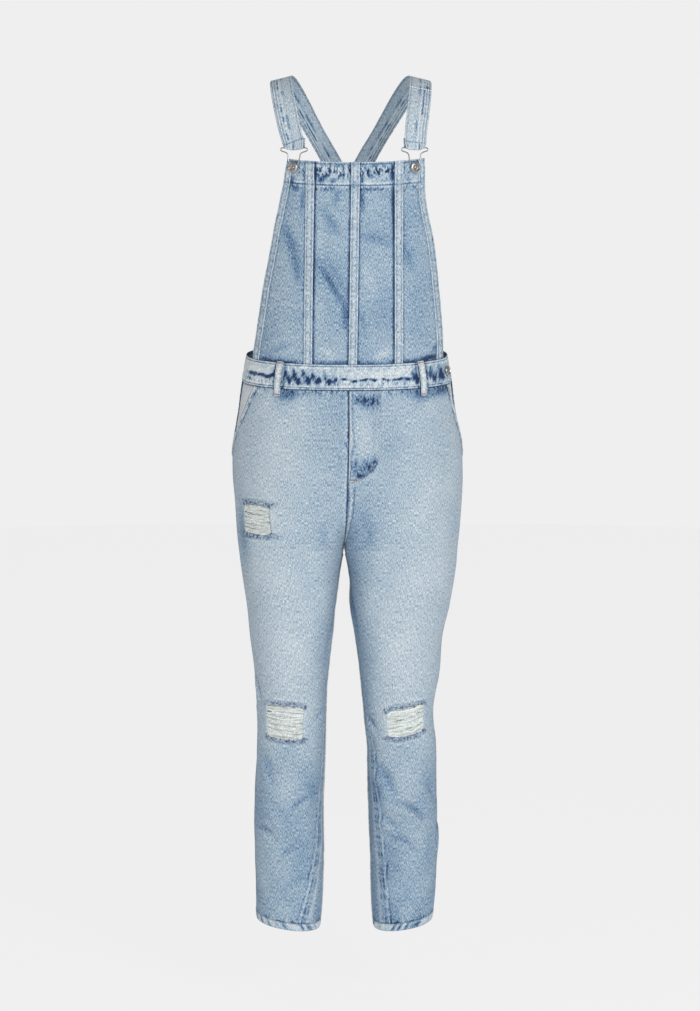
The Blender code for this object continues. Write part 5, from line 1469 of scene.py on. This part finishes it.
def wash_band(band, front, seed):
    """Shapes and washes a length of the band: pale ridges beside its sunk stitch rows."""
    share = BAND_SHARES[:, None]
    pucker = mottle(band.across, band.down, 0.0075, 0.024, seed)
    fine = mottle(band.across, band.down, 0.0038, 0.014, seed + 1)
    rows = hump(share, 0.085, 0.022) + hump(share, 0.915, 0.022)
    edges = hump(share, 0.0, 0.022) + hump(share, 1.0, 0.03)
    ridges = (hump(share, 0.135, 0.025) + hump(share, 0.865, 0.025) + hump(share, 0.045, 0.016)
              + hump(share, 0.955, 0.016))
    drawn = band_marks(band, share, seed) if front else back_marks(band, share, pucker, seed)
    band.raise_by(fine * 0.0002 - pucker * 0.0004 * (1 - edges) - drawn * 0.0012 - 0.0005 * rows
                  - 0.0008 * edges)
    band.dye = (0.29 + 0.07 * pucker + 0.06 * fine + drawn + 0.58 * rows * (0.8 + 0.4 * fine)
                + 0.70 * edges - 0.16 * ridges)
    if front:
        xs = band.points[..., 0]
        band.dye = band.dye - 0.16 * ramp_up(-xs, 0.105, 0.150) * (1 - rows - edges)
        for side, turn in FRONT_LOOP_TURNS.items():         # painted shadow beside the belt loops
            foot, top = (leg_form(side, [turn], level)[0][0] for level in (WAIST_SEAM, WAIST_TOP))
            beside = np.abs(xs - top - (foot - top) * share)
            band.dye = band.dye + 0.50 * hump(beside, 0.0072, 0.0016)
    band.drips = 0.30 * hump(share, 0.75, 0.16) + 0.20 * hump(share, 0.2, 0.10)


for name, band, seed in (("waistband_front", front_band, 170), ("waistband_back", back_band, 175)):
    wash_band(band, band is front_band, seed)
    cut_piece(f"{name}_cloth", band, BAND, name)
    sew(f"{name}_stitches", [(band.points[row], band.normals[row]) for row in BAND_ROWS])

# -------------------- belt loops
# Five narrow loops, folded to three layers, sewn along both edges and bar-tacked to the
# band and to the panel below it: two in front, three behind.

LOOP_WIDTH, LOOP_THICK, LOOP_STANDOFF = 0.0120, 0.0014, 0.0030
LOOP_FOOT, LOOP_HEAD = -0.0115, 0.0014  # how far it runs below and above the band
LOOP_SHARES = np.array((-1, -0.86, -0.62, -0.30, 0, 0.30, 0.62, 0.86, 1))


def leg_normal(side, turn, level):
    """The outward direction of the body form at one spot."""
    across = leg_form(side, [turn + 0.001], level)[0] - leg_form(side, [turn - 0.001], level)[0]
    up = leg_form(side, [turn], level + 0.0005)[0] - leg_form(side, [turn], level - 0.0005)[0]
    normal = np.cross(across, up) * side
    return unit(normal)


for number, (name, side, turn, foot) in enumerate((
        ("front_right", -1, FRONT_LOOP_TURNS[-1], 0.0006),
        ("front_left", 1, FRONT_LOOP_TURNS[1], 0.0006),
        ("back_right", -1, 0.420, 0.0006), ("back_left", 1, 0.420, 0.0006),
        ("back_middle", 1, 0.9995, 0.0020))):
    normal = leg_normal(side, turn, (WAIST_TOP + WAIST_SEAM) / 2)
    top = leg_form(side, [turn], WAIST_TOP)[0]
    bottom = leg_form(side, [turn], WAIST_SEAM)[0]
    height = np.linalg.norm(top - bottom)
    up = (top - bottom) / height
    sideways = np.cross(up, normal)
    face = BAND_LIFT + 0.0004
    stand = face + LOOP_STANDOFF
    rises = (LOOP_FOOT, -0.0050, -0.0005, 0.0060, height - 0.0080, height - 0.0020,
             height + LOOP_HEAD)
    offs = (foot, foot + 0.0002, face + 0.0012, stand, stand, face + 0.0006, face + 0.0002)
    run = np.linspace(rises[-1], rises[0], 46)
    out = np.interp(run, rises, offs) + LOOP_THICK
    out = np.convolve(np.pad(out, 2, mode="edge"), np.ones(5) / 5, mode="valid")
    points = (bottom + up * run[:, None, None] + normal * out[:, None, None]
              + sideways * (LOOP_WIDTH / 2 * LOOP_SHARES)[None, :, None])
    loop = Cloth(points, -1 if np.dot(np.cross(sideways, -up), normal) < 0 else 1)
    aside = np.abs(LOOP_SHARES)
    loop.raise_by(0.0002 * mottle(loop.down, loop.across, 0.005, 0.02, 274 + 3 * number)
                  - 0.0005 * aside ** 6)
    loop.raise_by(-0.0003 * hump(aside, 0.62, 0.10))
    # pale in the middle, painted shade along its two edges, and darker at its stitch rows
    loop.dye = (0.14 + 0.80 * hump(aside, 1.0, 0.12) + 0.20 * hump(aside, 0.62, 0.08)
                + 0.08 * mottle(loop.down, loop.across, 0.006, 0.004, 188))
    cut_piece(f"belt_loop_{name}_cloth", loop, LOOP_THICK, f"belt_loop_{name}")
    tacks = []
    for row in (2, -3):
        spot, sidewise, lift = flat_spot(loop, row, 4)
        tacks += bar_tack(spot, sidewise, lift, LOOP_WIDTH * 0.8, width=0.0026)
    sew(f"belt_loop_{name}_stitches", strip_runs(loop, (2, 6)), thread=TAN_THREAD)
    sew(f"belt_loop_{name}_tacks", tacks, pitch=0.0026, length=0.0028, thick=0.0009,
        thread=TAN_THREAD)

# -------------------- straps
# Folded denim, 31 to 36 mm wide, felled along its outer third. Each strap is turned up
# through its buckle in front, crosses the shoulder and narrows to the top of the back bib.

# A strap's middle line from the buckle to the back: y, z, the half-distance between the
# two straps and how far their middle is to the left, width, yaw and roll in degrees, and
# how level its end is cut.
STRAP_ROWS = (
    (-0.0990, -0.0980, 0.0940, 0.0093, 0.0360, 20.0, 0.0, 0.0),
    (-0.0940, -0.0750, 0.0975, 0.0083, 0.0360, 17.0, 2.0, 0.0),
    (-0.0840, -0.0510, 0.1018, 0.0072, 0.0360, 13.0, 5.0, 0.0),
    (-0.0660, -0.0270, 0.1058, 0.0061, 0.0355, 8.0, 9.0, 0.0),
    (-0.0450, -0.0115, 0.1080, 0.0055, 0.0350, 3.0, 12.0, 0.0),
    (-0.0220, -0.0030, 0.1090, 0.0050, 0.0345, 0.0, 14.0, 0.0),
    (0.0020, 0.0000, 0.1068, 0.0046, 0.0340, -4.0, 14.0, 0.0),
    (0.0270, -0.0035, 0.1015, 0.0040, 0.0335, -10.0, 13.0, 0.0),
    (0.0530, -0.0170, 0.0915, 0.0032, 0.0330, -18.0, 11.0, 0.0),
    (0.0760, -0.0400, 0.0770, 0.0024, 0.0325, -25.0, 8.0, 0.0),
    (0.0920, -0.0680, 0.0610, 0.0017, 0.0320, -28.0, 5.0, 0.0),
    (0.1010, -0.0960, 0.0448, 0.0012, 0.0315, -27.0, 2.0, 0.0),
    (0.1055, -0.1210, 0.0305, 0.0010, 0.0310, -20.0, 0.0, 0.3),
    (0.1070, -0.1462, 0.0180, 0.0010, 0.0310, -6.0, 0.0, 1.0),
)
STRAP_FOLD, WIRE, BUCKLE_DROP, BUTTON_LEVEL = 0.0150, 0.0020, 0.0300, -0.1175
BUCKLE_OUT = SEAM_GAP * 2 + STRIP + WIRE / 2 + 0.0004
STRAP_THICK = BAND - 0.0002
STRAP_STEPS = 14                        # grid rows between two of those places
JOIN_LEVEL = -0.0150                    # of the seam across its front
WIDE_TO_FOLD = 0.0355                   # how wide it is as far as its fold


class Place:
    """A spot on the bib: its point, outward normal, up and sideways directions."""

    def __init__(self, point, normal):
        self.point, self.normal = point, normal
        self.side = unit(np.cross((0, 0, 1), normal))
        self.up = unit(np.cross(normal, self.side))

    def at(self, across, up, out):
        """The point a little across, up and out from here."""
        return self.point + self.side * across + self.up * up + self.normal * out


def bib_place(x, level):
    """A spot on the bib, at rest on its cloth."""
    xs = np.array([x - 0.001, x, x + 0.001])
    row = bib_row(xs, level)
    up = bib_row(xs, level + 0.0001)[1] - bib_row(xs, level - 0.0001)[1]
    return Place(row[1], unit(np.cross(row[2] - row[0], up)))


bib_buttons = {-1: bib_place(-0.0815, BUTTON_LEVEL), 1: bib_place(0.1026, BUTTON_LEVEL)}


def smooth_through(values, steps):
    """A smooth curve through rows of values, with that many steps between two rows."""
    padded = np.concatenate([values[:1], values, values[-1:]])
    rows = []
    for index in range(1, len(padded) - 2):
        before, low, high, after = padded[index - 1:index + 3]
        for t in np.arange(steps) / steps:
            rows.append(0.5 * (2 * low + (high - before) * t
                               + (2 * before - 5 * low + 4 * high - after) * t**2
                               + (3 * low - before - 3 * high + after) * t**3))
    return np.array(rows + [values[-1]])


STRAP_SHARES = np.array((-1, -0.94, -0.84, -0.72, -0.60, -0.50, -0.36, -0.20, 0, 0.20, 0.36,
                         0.50, 0.60, 0.72, 0.84, 0.94, 1))
# The strap's underside is the denim's reverse painted deeper than elsewhere: painted shade under the
# strap.
STRAP_UNDERSIDE_SHADE = washed_denim("stonewashed_strap_underside_shaded", slub=0.62, blotch=0.3, shift=0.10)
STRAP_STITCHES = {1: (2, 12, 14), -1: (2, 4, 14)}   # the sewn columns


def strap_path(side, place):
    """A strap's middle line, from its turned-up end round the buckle's bar and over the
    shoulder, with the sideways and outward directions, the widths, and the fold's row."""
    bar = place.at(0, BUCKLE_DROP, BUCKLE_OUT)
    eye = WIRE / 2 + SEAM_GAP
    table = np.array(STRAP_ROWS)
    ahead, heights, spread, lean = table[:, :4].T
    centres = np.stack([lean + side * spread, ahead, heights], axis=-1)
    centres[0] = bar + place.normal * eye + place.up * (heights[0] - bar[2])
    centres = smooth_through(centres, STRAP_STEPS)
    widths, yaw, roll, level_cut = smooth_through(table[:, 4:], STRAP_STEPS).T
    yaw, roll = np.radians(yaw), np.radians(roll)
    along = unit(np.gradient(centres, axis=0))
    outward = np.stack([side * np.cos(yaw), np.sin(yaw), -np.sin(roll)], axis=-1)
    across = unit(outward - along * np.sum(outward * along, axis=1)[:, None]) * side
    normals = unit(np.cross(across, along))
    level = unit(across * (1, 1, 0))
    widths = widths * (1 + level_cut * (1 / np.maximum(np.sum(across * level, axis=1), 0.5) - 1))
    across = unit(across + (level - across) * level_cut[:, None])

    turned = np.radians(np.linspace(180, 360, 15))
    fold_out = np.outer(np.cos(turned), place.normal) + np.outer(np.sin(turned), place.up)
    back_layer = (bar - place.normal * eye
                  + place.up * np.linspace(STRAP_FOLD, 0, 9)[:-1, None])
    climb = np.linspace(0, 1, 8)[1:-1, None]
    front_start = bar + place.normal * eye
    front_layer = front_start + (centres[0] - front_start) * climb
    middles = np.concatenate([back_layer, bar + fold_out * eye, front_layer, centres])
    sideways = np.concatenate([np.tile(place.side, (len(back_layer) + len(fold_out), 1)),
                               unit(place.side + (across[0] - place.side) * climb), across])
    outwards = np.concatenate([np.tile(-place.normal, (len(back_layer), 1)), fold_out,
                               np.tile(place.normal, (len(front_layer), 1)), normals])
    widths = np.concatenate([np.full(len(middles) - len(centres), WIDE_TO_FOLD), widths])
    return middles, sideways, outwards, widths, len(back_layer) + len(fold_out) // 2


def lay_strap(side, place):
    """Lays a strap along its path, pinched a little where it is folded round the bar."""
    middles, sideways, outwards, widths, fold = strap_path(side, place)
    pinch = hump(np.arange(len(middles)), fold, 9.0)
    widths = widths * (1 - 0.05 * pinch)
    points = (middles[:, None] + sideways[:, None] * (widths / 2)[:, None, None]
              * STRAP_SHARES[None, :, None] + outwards[:, None] * STRAP_THICK)
    corner = np.abs(STRAP_SHARES) ** 3
    points = points + place.up * (0.0032 * pinch[:, None] * corner[None, :])[..., None]
    strap = Cloth(points, -1)
    if np.sum(strap.normals[40, 8] * outwards[40]) < 0:
        strap.outward = -strap.outward
        strap.normals = -strap.normals
    return strap, fold


def wash_strap(strap, side, fold):
    """Puckers and washes a strap, dark in its stitch rows, in dashes along its middle
    and beside its joining seam. Gives the rows of its turned end and of that seam."""
    outer = STRAP_SHARES * side
    pucker = mottle(strap.down, strap.across, 0.0070, 0.03, 190 + side)
    rows = hump(outer, 0.84, 0.05) + hump(outer, 0.60, 0.05) + 0.7 * hump(outer, -0.84, 0.05)
    edges = hump(np.abs(outer), 1.0, 0.04)
    ridges = (hump(outer, 0.72, 0.05) + hump(outer, 0.50, 0.06) + hump(outer, 0.20, 0.08)
              + hump(outer, 0.94, 0.04) + hump(outer, -0.94, 0.05))
    strap.raise_by(pucker * 0.0003 - 0.0004 * rows - 0.0006 * edges + 0.0003 * ridges)
    far = run_lengths(strap.points[:, 8])
    end_row = int(np.argmin(np.abs(far - far[fold] - STRAP_FOLD + 0.0005)))
    ahead, level = strap.points[:, 8, 1], strap.points[:, 8, 2]
    join_row = int(np.argmin(np.where(ahead < -0.01, np.abs(level - JOIN_LEVEL), 1.0)))
    from_end, from_join = ((far - far[row])[:, None] for row in (end_row, join_row))
    strap.raise_by(-0.0005 * hump(from_end, 0, 0.0010))
    dashes = ramp_up(mottle(strap.down, strap.across, 0.009, 0.1, 195 + side), 0.0, 0.5)
    far_dashes = ramp_up(mottle(strap.down, strap.across, 0.012, 0.1, 198 + side), -0.2, 0.4)
    strap.dye = (0.33 + 0.30 * rows + 0.20 * edges - 0.10 * pucker * hump(outer, 0.75, 0.3)
                 + (0.10 + 0.44 * dashes) * hump(outer, 0.36, 0.06)
                 + (0.08 + 0.30 * far_dashes) * hump(outer, 0.0, 0.06) - 0.17 * ridges
                 + 0.34 * hump(from_end, 0, 0.0011)
                 + 0.20 * hump(np.abs(from_join), 0.0022, 0.0010) * (side > 0)
                 + 0.65 * hump(from_join, 0.0075, 0.0035) * hump(outer, 0.62, 0.20)
                 * (0.4 + 0.6 * (side > 0)))
    return end_row, join_row


for side, side_name in SIDES:
    strap, fold = lay_strap(side, bib_buttons[side])
    end_row, join_row = wash_strap(strap, side, fold)
    cut_piece(f"strap_{side_name}_cloth", strap, STRAP_THICK, f"strap_{side_name}",
              reverse=STRAP_UNDERSIDE_SHADE)
    sewn = STRAP_STITCHES[side]
    sew(f"strap_{side_name}_stitches", strip_runs(strap, sewn)
        + [(strap.points[end_row, 1:-1], strap.normals[end_row, 1:-1])])
    if side > 0:
        sew("strap_left_join", [(strap.points[join_row], strap.normals[join_row])],
            pitch=0.0036, length=0.0034, thick=0.0024, thread=WHITE_THREAD)
    inside = [(strap.points[30:, column] - strap.normals[30:, column] * STRAP_THICK,
               -strap.normals[30:, column]) for column in sewn]
    sew(f"strap_{side_name}_inner_stitches", inside)

# -------------------- metal
# Bent steel wire hooks, and buttons with a steel rim round a worn copper face that has a
# raised ring of short ribs.

WIRE_GRAIN = 900.0                      # clouds of wear about 1 mm wide


def worn_metal(name, hex_colour, hex_worn, roughness):
    """Plated metal, bright where it is rubbed and duller in small clouds."""
    material, tree, shader = new_material(name)
    place = add_node(tree, "ShaderNodeTexCoord").outputs["Object"]
    cloud = add_node(tree, "ShaderNodeTexNoise", {
        "Vector": place, "Scale": WIRE_GRAIN, "Detail": 3.0}).outputs["Fac"]
    mix = add_node(tree, "ShaderNodeMix", {
        "Factor": cloud, 6: linear(hex_colour), 7: linear(hex_worn)}, data_type="RGBA")
    rough = add_node(tree, "ShaderNodeMath", {0: cloud, 1: 0.25, 2: roughness - 0.12},
                     operation="MULTIPLY_ADD")
    bump = add_node(tree, "ShaderNodeBump", {"Height": cloud, "Strength": 0.15, "Distance": 0.0002})
    set_sockets(tree, shader, {
        "Base Color": mix.outputs[2], "Roughness": rough.outputs[0],
        "Normal": bump.outputs["Normal"], "Metallic": 1.0})
    return material


STEEL = worn_metal("bright_steel_wire", "D2D4D6", "7F8286", 0.26)
COPPER = worn_metal("worn_copper_face", "C9BDB3", "665C56", 0.34)
BUTTON, BUTTON_RIBS, RIB_RING = 0.0165, 12, (0.0031, 0.0049)
BUTTON_SHANK, TAB_SHANK = BUCKLE_OUT + WIRE / 2 + SEAM_GAP, 0.0012


def lathe(name, profile, place, materials, split, node):
    """A button turned from its profile of (radius, out); split is the point of the
    profile where the rim ends and the face starts."""
    bm = bmesh.new()
    verts = [bm.verts.new(place.at(radius, 0, out)) for radius, out in profile]
    edges = [bm.edges.new(pair) for pair in zip(verts, verts[1:])]
    bmesh.ops.spin(bm, geom=verts + edges, cent=place.point, axis=place.normal, dvec=(0, 0, 0),
                   angle=math.tau, steps=40, use_merge=True, use_duplicate=False)
    bmesh.ops.remove_doubles(bm, verts=bm.verts[:], dist=WELD)
    bmesh.ops.recalc_face_normals(bm, faces=bm.faces[:])
    for face in bm.faces:
        spot = np.array(face.calc_center_median()) - place.point
        radius = np.linalg.norm(spot - place.normal * np.dot(spot, place.normal))
        face.material_index = int(radius < split and np.dot(spot, place.normal) > profile[3][1])
    mesh = bpy.data.meshes.new(name)
    bm.to_mesh(mesh)
    bm.free()
    for material in materials:
        mesh.materials.append(material)
    mesh.shade_smooth()
    mesh.set_sharp_from_angle(angle=math.radians(50))
    put_on(name, mesh, node)


def button(name, place, shank, node):
    """A button on its shank, with a ring of short ribs set into its face."""
    half = BUTTON / 2
    profile = [(0.0, SEAM_GAP), (0.0024, SEAM_GAP), (0.0022, shank), (half - 0.0010, shank),
               (half - 0.0003, shank + 0.0003), (half, shank + 0.0010),
               (half - 0.0003, shank + 0.0019), (half - 0.0010, shank + 0.0025),
               (half - 0.0018, shank + 0.0026), (half - 0.0023, shank + 0.0021),
               (half - 0.0027, shank + 0.0014), (half - 0.0033, shank + 0.0016),
               (0.0030, shank + 0.0017), (0.0026, shank + 0.0013), (0.0021, shank + 0.0020),
               (0.0012, shank + 0.0025), (0.0, shank + 0.0026)]
    lathe(name, profile, place, (STEEL, COPPER), half - 0.0026, node)
    ribs = []
    for turn in np.linspace(0, math.tau, BUTTON_RIBS, endpoint=False):
        ends = [place.at(radius * math.cos(turn), radius * math.sin(turn), shank + 0.0017)
                for radius in RIB_RING]
        ribs.append((np.array(ends), np.array([place.normal, place.normal])))
    sew(f"{name}_ribs", ribs, pitch=0.0018, length=0.0019, thick=0.0011, thread=STEEL)


tab_turn, tab_level = (TAB_END + TAB_LAP) / 2 / 90.0, (WAIST_TOP + WAIST_SEAM) / 2
tab_normal = leg_normal(1, tab_turn, tab_level)
tab_place = Place(leg_form(1, [tab_turn], tab_level)[0] + tab_normal * (LAP_LIFT + 0.0002),
                  tab_normal)
for side, side_name in SIDES:
    button(f"bib_button_{side_name}_metal", bib_buttons[side], BUTTON_SHANK,
           f"bib_button_{side_name}")
button("side_button_metal", tab_place, TAB_SHANK, "side_button")


def round_wire(name, paths, thick, material, node=None, closed=False, facets=1):
    """Round wires or threads along paths, as one piece."""
    curve = bpy.data.curves.new(name, "CURVE")
    curve.dimensions = "3D"
    curve.bevel_depth = thick / 2
    curve.bevel_resolution = facets
    for path in paths:
        spline = curve.splines.new("POLY")
        spline.points.add(len(path) - 1)
        for point, place in zip(spline.points, path):
            point.co = (*place, 1.0)
        spline.use_cyclic_u = closed
    curve.materials.append(material)
    put_on(name, curve, node)


def wire_hook(name, place, node):
    """A buckle: a bar in the strap's fold, an eye at each end of it, and two arms that
    meet in a round seat behind the button's head."""
    arm = np.array(((0.0070, 0.0300), (0.0150, 0.0300), (0.0205, 0.0300), (0.0228, 0.0288),
                    (0.0228, 0.0262), (0.0205, 0.0248), (0.0150, 0.0232), (0.0112, 0.0205),
                    (0.0100, 0.0150), (0.0082, 0.0080), (0.0052, 0.0020), (0.0040, -0.0010),
                    (0.0022, -0.0034), (0.0, -0.0042)))
    outline = np.concatenate([arm, (arm * (-1, 1))[-2::-1]])
    path = smooth_through(outline, 5)
    round_wire(name, [[place.at(across, up, BUCKLE_OUT) for across, up in path]], WIRE, STEEL,
               node, closed=True, facets=3)


for side, side_name in SIDES:
    wire_hook(f"buckle_{side_name}_wire", bib_buttons[side], f"buckle_{side_name}")

# -------------------- rips
# Where the indigo warp has worn through, the undyed weft yarns are left, in loose bundles
# that sag a little. The cloth above and below is frayed and darker.


def undyed_weft():
    """Bare cotton yarn, nearly white and fluffy."""
    material, tree, shader, _, cloud = cotton(
        "undyed_cotton_yarn", 500.0, 2.0, ((0.3, "BDC7C5"), (0.6, "F2F7F5")))
    bump = add_node(tree, "ShaderNodeBump", {"Height": cloud, "Strength": 0.5, "Distance": 0.0003})
    set_sockets(tree, shader, {
        "Normal": bump.outputs["Normal"], "Roughness": 0.95, "Sheen Weight": 0.2})
    return material


def frayed_warp():
    """Broken indigo yarns, some bleached nearly white."""
    material, tree, shader, _, _ = cotton(
        "frayed_indigo_warp", 260.0, 2.0, ((0.40, "4B6484"), (0.58, "B9C7D6")))
    set_sockets(tree, shader, {"Roughness": 0.95, "Sheen Weight": 0.2})
    return material


YARN, YARN_THICK = undyed_weft(), 0.00084
FRAYED, FRAY_THICK = frayed_warp(), 0.00080
BUNDLE = 0.0056                         # how high a bundle of yarns is, more or less
# The outer and the inner layer of yarns: pitch, how far a bundle draws together, sags and
# sways, how far holes push it, how uneven it is in and out, depth, and how round it stands.
YARN_LAYERS = ((0.00078, 0.24, 0.020, 0.016, 0.9, 0.00020, 0.0014, 0.0015),
               (0.00066, 0.0, 0.0, 0.0, 0.6, 0.00005, 0.0024, 0.0))
# Small dark holes among the yarns: rip, share across, share down, half-sizes of both.
YARN_HOLES = (
    ("rip_thigh", 0.05, 0.30, 0.05, 0.03), ("rip_thigh", 0.04, 0.55, 0.04, 0.03),
    ("rip_knee_right", 0.07, 0.24, 0.07, 0.035), ("rip_knee_right", 0.06, 0.50, 0.06, 0.03),
    ("rip_knee_right", 0.10, 0.80, 0.07, 0.03), ("rip_knee_left", 0.08, 0.16, 0.07, 0.04),
    ("rip_knee_left", 0.12, 0.34, 0.09, 0.03), ("rip_knee_left", 0.08, 0.72, 0.06, 0.03),
)


def spot_on(cloth, row, column, out):
    """The point of a laid piece between its grid lines, moved out by a distance."""
    low = np.clip(int(row), 0, len(cloth.points) - 2)
    near = np.clip(int(column), 0, cloth.points.shape[1] - 2)
    a, b = row - low, column - near
    spot = (cloth.points[low, near] * (1 - a) * (1 - b) + cloth.points[low + 1, near] * a * (1 - b)
            + cloth.points[low, near + 1] * (1 - a) * b + cloth.points[low + 1, near + 1] * a * b)
    return spot + cloth.normals[low, near] * out


def lay_yarns(rip, seed):
    """The weft yarns across one rip, in two layers that bow round its small holes."""
    random = np.random.default_rng(seed)
    cloth = panels["front", rip.side]
    left, right = rip_columns(rip)
    height = rip.top - rip.bottom
    along = np.linspace(-0.01, 1.01, 22)
    holes = [hole[1:] for hole in YARN_HOLES if hole[0] == rip.name]
    bundles = round(height / BUNDLE)
    edges = (np.arange(bundles + 1) + random.uniform(-0.28, 0.28, bundles + 1)) / bundles
    edges[0], edges[-1] = 0.0, 1.0
    paths = []
    for pitch, drawn, drop, sway, hole_push, shake, depth, round_out in YARN_LAYERS:
        count = round(height / pitch)
        for start in (np.arange(count) + 0.5) / count:
            bundle = min(int(np.searchsorted(edges, start, side="right")) - 1, bundles - 1)
            centre = (edges[bundle] + edges[bundle + 1]) / 2
            place = (start - centre) / (edges[bundle + 1] - edges[bundle]) * 2
            rounded = math.sqrt(max(1 - place * place, 0.0))
            pull = drawn * np.sin(math.pi * np.clip(along, 0, 1)) ** 0.6
            sag = drop * np.sin(math.pi * along) * (0.9 + np.sin(1.9 * bundle + 1.0))
            wave = (0.008 * np.sin(along * 9 + random.uniform(0, 6))
                    + sway * np.sin(along * 4 + bundle * 2.0))
            down = start + (centre - start) * pull + sag + wave
            for across, middle, half_across, half_down in holes:
                near = hump(along, across, half_across) * hump(start, middle, 4 * half_down)
                down = down + np.sign(start - middle) * half_down * near * hole_push
            down = np.clip(down, 0.0, 1.0)
            out = (shake * random.normal() - depth + round_out * rounded
                   - 0.0003 * np.sin(math.pi * along))
            rows = cloth.row_at(rip.top - down * height)
            paths.append([spot_on(cloth, row, left + share * (right - left), push)
                          for row, share, push in zip(rows, along, out)])
    round_wire(f"{rip.name}_yarns", paths, YARN_THICK, YARN, rip.name)


def fray(rip, seed):
    """Short broken warp ends, still blue, along the upper and lower edge of a rip."""
    random = np.random.default_rng(seed)
    cloth = panels["front", rip.side]
    left, right = rip_columns(rip)
    paths = []
    for edge, inward, count in ((rip.top, -1, 110), (rip.bottom, 1, 130)):
        for _ in range(count):
            column = random.uniform(left - 2.0, right + 2.0)
            start, length = random.uniform(0.0020, 0.0058), random.uniform(0.0020, 0.0050)
            lean, curl = random.normal() * 1.2, random.normal() * 0.9
            path = []
            for share in np.linspace(0, 1, 5):
                level = edge - inward * start + inward * length * share
                drift = (lean * share + curl * share * share) * length / RIP_STEP
                out = 0.0002 + 0.0009 * math.sin(share * 2.6)
                path.append(spot_on(cloth, cloth.row_at(level), column + drift, out))
            paths.append(path)
    round_wire(f"{rip.name}_fray", paths, FRAY_THICK, FRAYED)


for number, rip in enumerate(RIPS):
    lay_yarns(rip, 200 + number)
    fray(rip, 210 + number)
